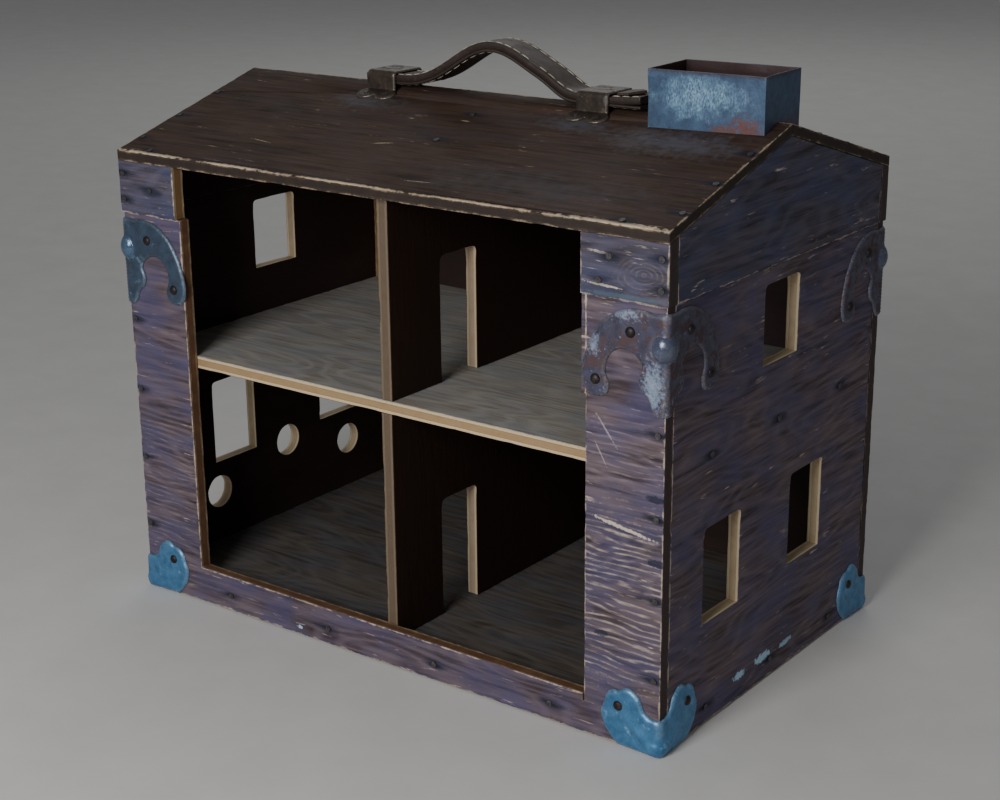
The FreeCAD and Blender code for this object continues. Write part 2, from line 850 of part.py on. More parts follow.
foot_front = plate_from(foot_outline, 0.0, corner_sheet, 2)
tail_start = band_step - corner_sheet
tail_end = band_step + corner_tail
foot_below = block(tail_start, tail_end, tail_start, tail_end, -foot_plate, 0.0)
below_edges = []
for edge in foot_below.Edges:
    upright = edge.BoundBox.ZLength > foot_plate - 0.01
    inner_corner = min(edge.CenterOfMass.x, edge.CenterOfMass.y) > 0.5 * corner_tail
    if upright and inner_corner:
        below_edges.append(edge)
foot_below = foot_below.makeFillet(corner_tail_radius, below_edges)
knob_inset = band_step + knob_set_in
foot_knob = Part.makeSphere(knob_radius, FreeCAD.Vector(knob_inset, knob_inset, knob_height))
foot_wood_edge = band_step + 4.0 * knob_radius
foot_wood = block(band_step, foot_wood_edge, band_step, foot_wood_edge, 0.0, 4.0 * knob_radius)
foot_corner = join(
    [
        foot_front,
        swapped_to_side(foot_front),
        corner_fill(0.0, foot_outline[0][1], corner_sheet),
        foot_below,
        foot_knob.cut(foot_wood),
    ]
)


def set_of_rivets(spots, sheet):
    """The rivets and holes of one corner, on both faces."""
    rivets = []
    holes = []
    for u, height in spots:
        rivets.append(dome(u, height, sheet))
        rivets.append(swapped_to_side(dome(u, height, sheet)))
        holes.append(dome_hole(u, height, sheet))
        holes.append(swapped_to_side(dome_hole(u, height, sheet)))
    return rivets, holes


def four_corners(shape):
    """The same shape on all four upright corners, by name."""
    return {
        "front_left": shape,
        "front_right": mirrored_in_x(shape),
        "rear_left": mirrored_in_y(shape),
        "rear_right": mirrored_in_x(mirrored_in_y(shape)),
    }


clamp_rivets, clamp_holes = set_of_rivets(clamp_rivet_spots, clamp_sheet)
foot_rivets, foot_holes = set_of_rivets(foot_rivet_spots, corner_sheet)
for place, shape in four_corners(clamp.cut(Part.makeCompound(clamp_holes))).items():
    save("corner_clamp_" + place, shape)
for place, shape in four_corners(foot_corner.cut(Part.makeCompound(foot_holes))).items():
    save("foot_corner_" + place, shape)
rivet_sets = []
for group in (clamp_rivets, foot_rivets):
    moved = []
    for rivet in group:
        moved.extend(four_corners(rivet).values())
    rivet_sets.append(moved)
save_group("clamp_rivets", rivet_sets[0])
save_group("foot_rivets", rivet_sets[1])

# ---- nails
save_group("frame_nails", driven(frame_nails))
save_group("cap_nails", driven(cap_nails))
save_group("back_nails", driven(back_nails))
save_group("wall_nails", driven(wall_nails))
save_group("roof_nails", driven(roof_nails))
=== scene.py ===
import json
import logging
import math
import random
from dataclasses import dataclass, field, replace
from enum import Enum
from typing import Any, Callable, Iterable, Sequence

import bmesh
import bpy
from mathutils import Matrix, Vector, noise
from mathutils.bvhtree import BVHTree
from mathutils.geometry import delaunay_2d_cdt


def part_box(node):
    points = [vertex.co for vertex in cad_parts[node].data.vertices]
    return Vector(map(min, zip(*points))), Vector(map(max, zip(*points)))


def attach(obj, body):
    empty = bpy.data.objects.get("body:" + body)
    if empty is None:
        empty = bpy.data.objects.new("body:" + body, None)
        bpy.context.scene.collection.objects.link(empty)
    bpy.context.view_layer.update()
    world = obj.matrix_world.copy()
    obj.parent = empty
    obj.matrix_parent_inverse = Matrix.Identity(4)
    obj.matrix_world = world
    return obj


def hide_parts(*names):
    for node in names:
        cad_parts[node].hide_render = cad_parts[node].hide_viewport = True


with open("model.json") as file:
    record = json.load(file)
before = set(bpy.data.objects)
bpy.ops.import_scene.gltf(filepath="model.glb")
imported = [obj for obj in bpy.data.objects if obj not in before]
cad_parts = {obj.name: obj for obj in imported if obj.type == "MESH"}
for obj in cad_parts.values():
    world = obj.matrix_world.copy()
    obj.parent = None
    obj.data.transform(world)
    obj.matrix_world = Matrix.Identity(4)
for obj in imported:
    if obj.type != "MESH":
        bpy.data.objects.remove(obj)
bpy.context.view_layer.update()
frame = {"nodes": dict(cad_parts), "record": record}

# A plywood dollhouse made from a carrying box: stained and rubbed boards, stamped trunk hardware,
# a zinc-coated sheet chimney and a stitched leather carrying strap. Sizes are in millimetres in
# the classes below and are turned to metres where a mesh is written. Shades work in millimetres too.

MM = 0.001
HOUSE = "house"
HANDLE = "handle"
log = logging.getLogger("dollhouse")

# Lowest corner of the wood, taken from the roof board that reaches every outer face.
WOOD_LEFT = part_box("roof_front")[0].x / MM
WOOD_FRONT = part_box("roof_front")[0].y / MM
WOOD_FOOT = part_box("front_frame")[0].z / MM
BAND_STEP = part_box("front_frame")[0].y / MM - WOOD_FRONT
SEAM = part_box("front_cap_left")[0].z / MM


def linear(colour: str) -> tuple[float, float, float, float]:
    """Turns an sRGB hex colour into linear light.

    Args:
        colour: A colour such as "#4b3a41".

    Returns:
        Red, green and blue as linear values, and full opacity.
    """
    shares = [int(colour[start : start + 2], 16) / 255.0 for start in (1, 3, 5)]
    lit = [share / 12.92 if share <= 0.04045 else ((share + 0.055) / 1.055) ** 2.4 for share in shares]
    return lit[0], lit[1], lit[2], 1.0


def record_box(opening: str) -> tuple[Vector, Vector]:
    """Gives the corners of a stated opening.

    Args:
        opening: The opening's name in the record.

    Returns:
        Its lowest and highest corner, in millimetres.
    """
    for entry in frame["record"]["physics"]["openings"]:
        if entry["name"] == opening:
            return Vector(entry["box_m"][0]) / MM, Vector(entry["box_m"][1]) / MM
    raise KeyError(opening)


def smoothstep(value: float) -> float:
    """Eases a share from 0 to 1."""
    share = min(1.0, max(0.0, value))
    return share * share * (3.0 - 2.0 * share)


def add_node(
    tree: bpy.types.NodeTree,
    kind: str,
    inputs: dict[Any, Any] | None = None,
    stops: Sequence[tuple[float, str]] = (),
    **settings: Any,
) -> bpy.types.Node:
    """Adds one shader node with its settings and links.

    Args:
        tree: The material's node tree.
        kind: The node's type name.
        inputs: Socket names or numbers, each with a node, a socket, a hex colour or a value.
        stops: Colour stops, for a colour ramp.
        **settings: The node's own properties.

    Returns:
        The new node.
    """
    made = tree.nodes.new(kind)
    for name, value in settings.items():
        setattr(made, name, value)
    if stops:
        ramp = made.color_ramp
        for element, (position, colour) in zip((ramp.elements[0], ramp.elements[-1]), (stops[0], stops[-1])):
            element.position = position
            element.color = linear(colour)
        for position, colour in stops[1:-1]:
            ramp.elements.new(position).color = linear(colour)
    for name, value in (inputs or {}).items():
        if isinstance(value, bpy.types.Node):
            tree.links.new(value.outputs[0], made.inputs[name])
        elif isinstance(value, bpy.types.NodeSocket):
            tree.links.new(value, made.inputs[name])
        else:
            made.inputs[name].default_value = linear(value) if isinstance(value, str) else value
    return made


class Axis(Enum):
    """The way the grain of a board runs."""

    X = 0
    Y = 1
    Z = 2

    def squeezed(self, share: float) -> tuple[float, float, float]:
        """Scale factors that draw a pattern out along this axis."""
        factors = [1.0, 1.0, 1.0]
        factors[self.value] = share
        return factors[0], factors[1], factors[2]


class Shade:
    """The node graph of one material, with places counted in millimetres of the object itself."""

    def __init__(self, name: str) -> None:
        """Starts an empty finish under the given material name."""
        self.material = bpy.data.materials.new(name)
        self.material.use_nodes = True
        self.tree = self.material.node_tree
        self.shader = self.tree.nodes["Principled BSDF"]
        spot = self.add("ShaderNodeTexCoord")
        self.facing = spot.outputs["Normal"]
        self.place = self.add(
            "ShaderNodeVectorMath", {0: spot.outputs["Object"], "Scale": 1.0 / MM}, operation="SCALE"
        )

    def add(self, kind: str, inputs: dict[Any, Any] | None = None, **more: Any) -> bpy.types.Node:
        """Adds a node to this finish."""
        return add_node(self.tree, kind, inputs, **more)

    def patches(
        self,
        size: float,
        low: float,
        high: float,
        stretch: tuple[float, float, float] = (1.0, 1.0, 1.0),
        detail: float = 4.0,
        shift: float = 0.0,
    ) -> bpy.types.Node:
        """Draws soft-edged patches.

        Args:
            size: The width of a patch, in millimetres.
            low: The noise value where a patch begins.
            high: The noise value where it is full.
            stretch: Scale factors for each axis.
            detail: How many finer layers the noise has.
            shift: Moves the pattern, so that two sets of patches differ.

        Returns:
            A node whose value runs from 0 to 1.
        """
        spot = self.add(
            "ShaderNodeMapping",
            {"Vector": self.place, "Scale": stretch, "Location": (shift, 1.7 * shift, -shift)},
        )
        cloud = self.add(
            "ShaderNodeTexNoise",
            {"Vector": spot, "Scale": 1.0 / size, "Detail": detail, "Roughness": 0.62},
        )
        return self.add("ShaderNodeMapRange", {"Value": cloud, "From Min": low, "From Max": high})

    def spot(
        self,
        flat: Any,
        centre: tuple[float, float],
        size: tuple[float, float],
        turn: float = 0.0,
        ragged: float = 0.6,
        grain: float = 3.0,
        soft: float = 0.3,
    ) -> bpy.types.Node:
        """Draws one ragged oval mark.

        Args:
            flat: Node with the place in the plane of the mark, in millimetres.
            centre: The middle of the mark.
            size: Half its length and half its width, in millimetres.
            turn: How far it is turned, in degrees.
            ragged: How uneven its rim is.
            grain: Size of the unevenness, in millimetres.
            soft: Share of its size over which the rim fades.

        Returns:
            A node whose value runs from 0 to 1.
        """
        cos, sin = math.cos(math.radians(turn)), math.sin(math.radians(turn))
        away = self.add("ShaderNodeVectorMath", {0: flat, 1: (*centre, 0.0)}, operation="SUBTRACT")
        long_way = self.add(
            "ShaderNodeVectorMath", {0: away, 1: (cos / size[0], sin / size[0], 0.0)}, operation="DOT_PRODUCT"
        ).outputs["Value"]
        wide_way = self.add(
            "ShaderNodeVectorMath", {0: away, 1: (-sin / size[1], cos / size[1], 0.0)}, operation="DOT_PRODUCT"
        ).outputs["Value"]
        pair = self.add("ShaderNodeCombineXYZ", {"X": long_way, "Y": wide_way})
        reach = self.add("ShaderNodeVectorMath", {0: pair}, operation="LENGTH").outputs["Value"]
        cloud = self.patches(grain, 0.25, 0.75, detail=7.0, shift=centre[0])
        cloud = self.add("ShaderNodeMath", {0: cloud, 1: 2.0 * ragged}, operation="MULTIPLY")
        total = self.add("ShaderNodeMath", {0: reach, 1: cloud}, operation="ADD")
        return self.add(
            "ShaderNodeMapRange",
            {
                "Value": total,
                "From Min": 1.05 + ragged - soft,
                "From Max": 1.05 + ragged,
                "To Min": 1.0,
                "To Max": 0.0,
            },
        )

    def over(self, under: Any, colour: Any, mask: Any, how: str = "MIX") -> bpy.types.Node:
        """Lays a colour over another where a mask is full."""
        return self.add(
            "ShaderNodeMixRGB", {"Fac": mask, "Color1": under, "Color2": colour}, blend_type=how
        )

    def sum_of(self, first: Any, second: Any, how: str = "MULTIPLY") -> bpy.types.Node:
        """Combines two values, by default as a product, kept between 0 and 1."""
        return self.add("ShaderNodeMath", {0: first, 1: second}, operation=how, use_clamp=True)

    def close(self, colour: Any, roughness: Any, height: Any, depth: float) -> bpy.types.Material:
        """Connects the finish to its shader.

        Args:
            colour: Node with the surface colour.
            roughness: Node or value for the roughness.
            height: Node with a height from 0 to 1.
            depth: What a height of 1 stands for, in millimetres.

        Returns:
            The finished material.
        """
        relief = self.add("ShaderNodeBump", {"Height": height, "Distance": depth * MM, "Strength": 1.0})
        self.tree.links.new(relief.outputs[0], self.shader.inputs["Normal"])
        self.tree.links.new(colour.outputs[0], self.shader.inputs["Base Color"])
        if isinstance(roughness, bpy.types.Node):
            self.tree.links.new(roughness.outputs[0], self.shader.inputs["Roughness"])
        else:
            self.shader.inputs["Roughness"].default_value = roughness
        return self.material


# ---------------------------------------------------------------------------- wood


class MarkKind(Enum):
    """What a mark on a board is."""

    PAINT = "colour laid over or scratched out"
    RINGS = "zone where the growth rings stand proud and pale"
    KNOT = "rings of a grown-in knot"


@dataclass(frozen=True)
class Mark:
    """One mark on a board, placed in the board's own plane, in millimetres."""

    kind: MarkKind
    centre: tuple[float, float]
    size: tuple[float, float]
    colour: str = "#cbb8a6"
    share: float = 0.8
    turn: float = 0.0
    ragged: float = 0.6
    grain: float = 3.0
    soft: float = 0.3


@dataclass(frozen=True)
class BoardPlan:
    """Where a board lies, which way its grain runs and what is sawn out of it."""

    node: str
    slot: str
    grain: Axis
    outward: tuple[float, float, float]
    across: tuple[float, float, float]
    holes: tuple[tuple[float, float, float, float], ...] = ()
    hole_names: tuple[str, ...] = ()
    shift: float = 0.0
    stained_ends: float = 1000.0
    marks: tuple[Mark, ...] = ()

    def along(self) -> Vector:
        """The direction in the board's plane that is square to its across direction."""
        return Vector(self.across).cross(Vector(self.outward)).normalized()

    def extent(self, direction: Sequence[float]) -> tuple[float, float]:
        """The board's lowest and highest place along a direction, in millimetres."""
        way = Vector(direction)
        places = [vertex.co.dot(way) / MM for vertex in frame["nodes"][self.node].data.vertices]
        return min(places), max(places)

    def rectangles(self) -> list[tuple[float, float, float, float]]:
        """The board's outline and its holes as (low, high, low, high) in its own plane."""
        found = [(*self.extent(self.along()), *self.extent(self.across)), *self.holes]
        for name in self.hole_names:
            low, high = record_box(name)
            ends = sorted((low.dot(self.along()), high.dot(self.along())))
            rise = sorted((low.dot(Vector(self.across)), high.dot(Vector(self.across))))
            found.append((ends[0], ends[1], rise[0], rise[1]))
        return found


@dataclass(frozen=True)
class Plywood:
    """Thin three-ply softwood board, rotary cut, stained by hand and rubbed through with use.

    The veneer gives long dark streaks and wavy contour rings, the sawn edges show a dark core
    between two pale skins, and the arrises are bare wood where the stain has worn off.
    """

    name: str
    deep: str
    ground: str
    bright: str
    haze: str
    haze_share: float
    bare: str
    inside: str
    sawn: str
    sawn_cover: float
    rub: float = 2.6
    fleck_low: float = 0.62
    ring_share: float = 0.35
    roughness: float = 0.62
    end_cover: float = 0.9
    skin: str = "#d8c19a"
    core: str = "#8a6a48"
    glue: str = "#3a2a20"
    stain: str = "#171b2b"

    def edge_distance(
        self, shade: Shade, plan: BoardPlan
    ) -> tuple[bpy.types.NodeSocket, bpy.types.Node, bpy.types.Node]:
        """Measures how far a point is from the nearest arris of the board.

        Args:
            shade: The finish being built.
            plan: The board.

        Returns:
            The distance in millimetres, the place through the thickness from 0 to 1, and the
            place in the board's plane.
        """
        parts = []
        for direction in (plan.along(), plan.across, plan.outward):
            parts.append(
                shade.add(
                    "ShaderNodeVectorMath", {0: shade.place, 1: tuple(direction)}, operation="DOT_PRODUCT"
                ).outputs["Value"]
            )
        flat = shade.add("ShaderNodeCombineXYZ", {"X": parts[0], "Y": parts[1]})
        nearest: Any = 1000.0
        for low_u, high_u, low_v, high_v in plan.rectangles():
            middle = ((low_u + high_u) / 2.0, (low_v + high_v) / 2.0, 0.0)
            half = ((high_u - low_u) / 2.0, (high_v - low_v) / 2.0, 0.0)
            away = shade.add("ShaderNodeVectorMath", {0: flat, 1: middle}, operation="SUBTRACT")
            away = shade.add("ShaderNodeVectorMath", {0: away}, operation="ABSOLUTE")
            away = shade.add("ShaderNodeVectorMath", {0: away, 1: half}, operation="SUBTRACT")
            split = shade.add("ShaderNodeSeparateXYZ", {0: away})
            edge = shade.add(
                "ShaderNodeMath", {0: split.outputs["X"], 1: split.outputs["Y"]}, operation="MAXIMUM"
            )
            edge = shade.add("ShaderNodeMath", {0: edge}, operation="ABSOLUTE")
            nearest = shade.add("ShaderNodeMath", {0: edge, 1: nearest}, operation="MINIMUM")
        low, high = plan.extent(plan.outward)
        depth = shade.add(
            "ShaderNodeMapRange", {"Value": parts[2], "From Min": low, "From Max": high}
        )
        centred = shade.add("ShaderNodeMath", {0: depth, 1: 0.5}, operation="SUBTRACT")
        centred = shade.add("ShaderNodeMath", {0: centred}, operation="ABSOLUTE")
        from_face = shade.add(
            "ShaderNodeMapRange",
            {"Value": centred, "From Min": 0.0, "From Max": 0.5, "To Min": (high - low) / 2.0, "To Max": 0.0},
        )
        pair = shade.add("ShaderNodeCombineXYZ", {"X": nearest, "Y": from_face})
        arris = shade.add("ShaderNodeVectorMath", {0: pair}, operation="LENGTH")
        return arris.outputs["Value"], depth, flat

    def draw_marks(self, shade: Shade, plan: BoardPlan, flat: bpy.types.Node, face: Any) -> Any:
        """Lays a board's own marks over its colour.

        Args:
            shade: The finish being built.
            plan: The board.
            flat: Node with the place in the board's plane.
            face: Node with the colour so far.

        Returns:
            Node with the colour and its marks.
        """
        for mark in plan.marks:
            zone = shade.spot(flat, mark.centre, mark.size, mark.turn, mark.ragged, mark.grain, mark.soft)
            if mark.kind is MarkKind.PAINT:
                face = shade.over(face, mark.colour, shade.sum_of(zone, mark.share))
                continue
            warp = shade.patches(24.0, 0.0, 1.0, plan.grain.squeezed(0.35), 2.5, mark.centre[0])
            if mark.kind is MarkKind.KNOT:
                away = shade.add("ShaderNodeVectorMath", {0: flat, 1: (*mark.centre, 0.0)}, operation="SUBTRACT")
                away = shade.add("ShaderNodeVectorMath", {0: away, 1: (0.8, 1.25, 1.0)}, operation="MULTIPLY")
                away = shade.add("ShaderNodeVectorMath", {0: away}, operation="LENGTH")
                run, pitch, swing = away.outputs["Value"], 3.2, 17.0
            else:
                run, pitch, swing = shade.add("ShaderNodeSeparateXYZ", {0: flat}).outputs["Y"], 4.5, 15.0
            bent = shade.add("ShaderNodeMath", {0: warp, 1: swing}, operation="MULTIPLY")
            run = shade.add("ShaderNodeMath", {0: run, 1: bent}, operation="ADD")
            turns = shade.add("ShaderNodeMath", {0: run, 1: math.tau / pitch}, operation="MULTIPLY")
            wave = shade.add("ShaderNodeMath", {0: turns}, operation="SINE")
            ridge = shade.add("ShaderNodeMapRange", {"Value": wave, "From Min": 0.1, "From Max": 1.0})
            broken = shade.patches(2.6, 0.40, 0.66, plan.grain.squeezed(0.16), 7.0, 19.0)
            ridge = shade.sum_of(shade.sum_of(ridge, broken), zone)
            face = shade.over(face, mark.colour, shade.sum_of(ridge, mark.share))
        return face

    def nail_stain(self, shade: Shade, plan: BoardPlan, nails: Iterable[Vector]) -> bpy.types.Node | None:
        """Draws the blue-black bloom that iron leaves in damp wood, drawn out along the grain.

        Args:
            shade: The finish being built.
            plan: The board.
            nails: Nail heads on this board, in millimetres.

        Returns:
            A node from 0 to 1, or None where the board has no nails.
        """
        reach = plan.grain.squeezed(0.32)
        shrink = tuple(factor / 3.6 for factor in reach)
        scaled = shade.add("ShaderNodeVectorMath", {0: shade.place, 1: shrink}, operation="MULTIPLY")
        nearest: Any = 9.0
        for nail in nails:
            spot = tuple(part * factor for part, factor in zip(nail, shrink))
            away = shade.add("ShaderNodeVectorMath", {0: scaled, 1: spot}, operation="DISTANCE")
            nearest = shade.add(
                "ShaderNodeMath", {0: away.outputs["Value"], 1: nearest}, operation="MINIMUM"
            )
        if isinstance(nearest, float):
            return None
        ragged = shade.patches(5.0, 0.25, 0.75, plan.grain.squeezed(0.3), detail=5.0, shift=61.0)
        wobble = shade.add("ShaderNodeMath", {0: nearest, 1: ragged}, operation="ADD")
        return shade.add(
            "ShaderNodeMapRange",
            {"Value": wobble, "From Min": 0.75, "From Max": 1.7, "To Min": 0.95, "To Max": 0.0},
        )

    def dress(self, plan: BoardPlan, nails: Iterable[Vector]) -> bpy.types.Material:
        """Builds the material of one board.

        Args:
            plan: The board.
            nails: Nail heads on this board, in millimetres.

        Returns:
            The board's material.
        """
        shade = Shade(f"{self.name}.{plan.node}")
        shift = plan.shift
        # Growth rings of the veneer are 0.3 to 1 mm apart; they are drawn 1.2 mm apart so that they show.
        streak = shade.patches(1.2, 0.30, 0.70, plan.grain.squeezed(0.035), 8.0, shift)
        broad = shade.patches(9.0, 0.34, 0.66, plan.grain.squeezed(0.09), 5.0, shift + 11.0)
        tone = shade.patches(34.0, 0.36, 0.66, plan.grain.squeezed(0.4), 4.0, shift + 23.0)
        swell = shade.patches(58.0, 0.0, 1.0, plan.grain.squeezed(0.25), 1.5, shift + 37.0)
        turns = shade.add("ShaderNodeMath", {0: swell, 1: 120.0}, operation="MULTIPLY")
        wave = shade.add("ShaderNodeMath", {0: turns}, operation="SINE")
        ring = shade.add("ShaderNodeMapRange", {"Value": wave, "From Min": -0.2, "From Max": 1.0})

        band = shade.patches(3.4, 0.40, 0.62, plan.grain.squeezed(0.045), 7.0, shift + 15.0)
        dark_band = shade.patches(4.6, 0.50, 0.66, plan.grain.squeezed(0.07), 7.0, shift + 27.0)
        face = shade.over(self.deep, self.ground, streak)
        face = shade.over(face, self.ground, shade.sum_of(broad, 0.4))
        face = shade.over(face, self.bright, shade.sum_of(tone, 0.45))
        face = shade.over(face, self.bright, shade.sum_of(band, 0.5))
        face = shade.over(face, self.deep, shade.sum_of(dark_band, 0.75))
        face = shade.over(face, self.bright, shade.sum_of(ring, self.ring_share))
        misty = shade.patches(26.0, 0.40, 0.62, plan.grain.squeezed(0.5), 5.0, shift + 41.0)
        face = shade.over(face, self.haze, shade.sum_of(misty, self.haze_share))

        arris, depth, flat = self.edge_distance(shade, plan)
        reach = shade.patches(11.0, 0.42, 0.80, detail=6.0, shift=shift + 53.0)
        reach = shade.add("ShaderNodeMath", {0: reach, 1: self.rub}, operation="MULTIPLY")
        reach = shade.add("ShaderNodeMath", {0: reach, 1: 0.25}, operation="ADD")
        worn = shade.add(
            "ShaderNodeMapRange",
            {"Value": arris, "From Min": 0.0, "From Max": reach, "To Min": 1.25, "To Max": 0.0},
        )
        worn = shade.sum_of(worn, shade.patches(2.5, 0.28, 0.52, detail=4.0, shift=shift + 3.0))
        flecks = shade.patches(
            2.6, self.fleck_low, self.fleck_low + 0.07, plan.grain.squeezed(0.12), 6.0, shift + 71.0
        )
        groups = shade.patches(30.0, 0.50, 0.62, plan.grain.squeezed(0.6), 3.0, shift + 83.0)
        near_arris = shade.add(
            "ShaderNodeMapRange",
            {"Value": arris, "From Min": 0.0, "From Max": 16.0, "To Min": 0.9, "To Max": 0.0},
        )
        groups = shade.add("ShaderNodeMath", {0: groups, 1: near_arris}, operation="MAXIMUM")
        rubbed = shade.add("ShaderNodeMath", {0: worn, 1: shade.sum_of(flecks, groups)}, operation="MAXIMUM")
        face = shade.over(face, self.bare, shade.sum_of(rubbed, 0.85))
        face = self.draw_marks(shade, plan, flat, face)
        stain = self.nail_stain(shade, plan, nails)
        if stain is not None:
            face = shade.over(face, self.stain, stain)

        hidden = shade.over(self.inside, self.deep, shade.sum_of(streak, 0.55))
        hidden = shade.over(hidden, self.ground, shade.sum_of(tone, 0.18))
        facing = shade.add(
            "ShaderNodeVectorMath", {0: shade.facing, 1: plan.outward}, operation="DOT_PRODUCT"
        ).outputs["Value"]
        is_back = shade.add("ShaderNodeMapRange", {"Value": facing, "From Min": -0.35, "From Max": -0.6})
        turned = shade.add("ShaderNodeMath", {0: facing}, operation="ABSOLUTE")
        is_edge = shade.add("ShaderNodeMapRange", {"Value": turned, "From Min": 0.55, "From Max": 0.4})

        # Two skins about 2.3 mm thick over a core, with dark glue lines that are 0.1 mm in life.
        plies = shade.add(
            "ShaderNodeValToRGB",
            {"Fac": depth},
            stops=(
                (0.0, self.skin),
                (0.23, self.skin),
                (0.26, self.glue),
                (0.31, self.core),
                (0.70, self.core),
                (0.75, self.glue),
                (0.79, self.skin),
                (1.0, self.skin),
            ),
        )
        fibres = shade.patches(0.9, 0.25, 0.7, detail=6.0, shift=shift + 5.0)
        edge = shade.over(plies, self.core, shade.sum_of(fibres, 0.45))
        cover = shade.patches(8.0, 0.30, 0.55, detail=5.0, shift=shift + 97.0)
        cover = shade.add(
            "ShaderNodeMapRange",
            {"Value": cover, "To Min": 0.72 * self.sawn_cover, "To Max": self.sawn_cover},
        )
        edge = shade.over(edge, self.sawn, cover)
        reach_x = shade.add("ShaderNodeSeparateXYZ", {0: flat}).outputs["X"]
        reach_x = shade.add("ShaderNodeMath", {0: reach_x}, operation="ABSOLUTE")
        is_end = shade.add(
            "ShaderNodeMapRange",
            {"Value": reach_x, "From Min": plan.stained_ends - 1.0, "From Max": plan.stained_ends},
        )
        stained_end = shade.over(self.deep, self.ground, fibres)
        edge = shade.over(edge, stained_end, shade.sum_of(is_end, self.end_cover))
        edge = shade.over(edge, self.bare, shade.sum_of(worn, 0.7))

        colour = shade.over(face, hidden, is_back)
        colour = shade.over(colour, edge, is_edge)
        height = shade.over(streak, broad, 0.35)
        height = shade.over(height, "#000000", shade.sum_of(rubbed, 0.35))
        height = shade.over(height, ring, 0.15)
        gloss = shade.add(
            "ShaderNodeMapRange",
            {"Value": streak, "To Min": self.roughness + 0.12, "To Max": self.roughness - 0.08},
        )
        shade.shader.inputs["Specular IOR Level"].default_value = 0.25
        return shade.close(colour, gloss, height, 0.16)


BODY_STAIN = Plywood(
    name="stained_fir_plywood",
    deep="#1f1819",
    ground="#45363a",
    bright="#7a6b72",
    haze="#48466a",
    haze_share=0.58,
    bare="#cbb8a6",
    inside="#2b1d16",
    sawn="#513629",
    sawn_cover=0.84,
)
WALL_STAIN = replace(BODY_STAIN, name="stained_fir_side_wall", sawn="#cdbd9e", sawn_cover=0.55, skin="#ddcba6")
BAND_STAIN = Plywood(
    name="stained_fir_band",
    deep="#1e191d",
    ground="#3c3439",
    bright="#67606f",
    haze="#414968",
    haze_share=0.6,
    bare="#c5b5a8",
    inside="#2b1d16",
    sawn="#6b5236",
    sawn_cover=0.70,
)
ROOF_BOARD = Plywood(
    name="weathered_fir_roof",
    deep="#170f0a",
    ground="#2f2118",
    bright="#503c2f",
    haze="#42383a",
    haze_share=0.35,
    bare="#b9a48a",
    inside="#1c130e",
    sawn="#2b2321",
    sawn_cover=0.93,
    rub=3.2,
    fleck_low=0.64,
    skin="#7d6a53",
    core="#4a3a2c",
    ring_share=0.12,
    roughness=0.66,
)
FLOOR_BOARD = Plywood(
    name="bare_fir_floor",
    deep="#75685b",
    ground="#8f877c",
    bright="#aaa69f",
    haze="#7d8792",
    haze_share=0.4,
    bare="#cfc4b0",
    inside="#33241b",
    sawn="#c9b48e",
    sawn_cover=0.25,
    rub=0.8,
    fleck_low=0.80,
    ring_share=0.5,
    roughness=0.68,
)
BASE_BOARD = Plywood(
    name="worn_fir_floor",
    deep="#302923",
    ground="#4a423b",
    bright="#676059",
    haze="#4f5460",
    haze_share=0.4,
    bare="#a89a88",
    inside="#2b1d16",
    sawn="#5d4632",
    sawn_cover=0.6,
    rub=0.8,
    fleck_low=0.78,
    ring_share=0.4,
    roughness=0.66,
)
PARTITION = Plywood(
    name="brown_fir_partition",
    deep="#1d110b",
    ground="#301d13",
    bright="#45301f",
    haze="#4a3a36",
    haze_share=0.2,
    bare="#b89f86",
    inside="#2a1a11",
    sawn="#b0a18c",
    sawn_cover=0.6,
    end_cover=0.72,
    rub=1.2,
    fleck_low=0.78,
    ring_share=0.2,
)
SAWN_PINE = Plywood(
    name="sawn_pine_batten",
    deep="#5d4128",
    ground="#7d5c3b",
    bright="#a0805a",
    haze="#6a5440",
    haze_share=0.3,
    bare="#c2a67c",
    inside="#5d4128",
    sawn="#7d5c3b",
    sawn_cover=0.95,
    ring_share=0.3,
)


FRONT_MARKS = (
    Mark(MarkKind.RINGS, (206.0, 104.0), (60.0, 66.0), "#c2b3a4", 0.85, ragged=0.3, soft=0.5),
    Mark(MarkKind.RINGS, (206.0, 200.0), (50.0, 30.0), "#a3949a", 0.4, ragged=0.3, soft=0.6),
    Mark(MarkKind.RINGS, (-206.0, 90.0), (40.0, 70.0), "#9c8c88", 0.45, ragged=0.3, soft=0.6),
    Mark(MarkKind.PAINT, (205.0, 152.0), (24.0, 1.3), "#cdbfae", 0.9, turn=-9.0, grain=2.0),
    Mark(MarkKind.PAINT, (192.0, 214.0), (13.0, 0.7), "#b9abaa", 0.5, turn=-52.0, grain=2.0),
    Mark(MarkKind.PAINT, (188.0, 198.0), (9.0, 0.6), "#b9abaa", 0.45, turn=-60.0, grain=2.0),
    Mark(MarkKind.PAINT, (-76.0, 7.0), (2.6, 1.5), "#a9c3dc", 0.95, grain=1.5),
    Mark(MarkKind.PAINT, (229.0, 176.0), (7.0, 2.6), "#22263a", 0.85, ragged=0.4),
    Mark(MarkKind.PAINT, (230.0, 134.0), (8.0, 2.8), "#22263a", 0.85, ragged=0.4),
    Mark(MarkKind.PAINT, (190.0, 76.0), (6.0, 2.4), "#22263a", 0.8, ragged=0.4),
)
CAP_MARKS = (
    Mark(MarkKind.KNOT, (219.0, 316.0), (26.0, 17.0), "#988a7e", 0.3, ragged=0.5, soft=0.6),
    Mark(MarkKind.PAINT, (206.0, 301.0), (34.0, 1.6), "#4b6270", 0.5, ragged=0.4),
    Mark(MarkKind.PAINT, (190.0, 306.0), (14.0, 0.8), "#cdbfae", 0.8, turn=-3.0, grain=2.0),
    Mark(MarkKind.PAINT, (188.0, 326.0), (9.0, 0.9), "#c4b5a6", 0.7, turn=-5.0, grain=2.0),
)
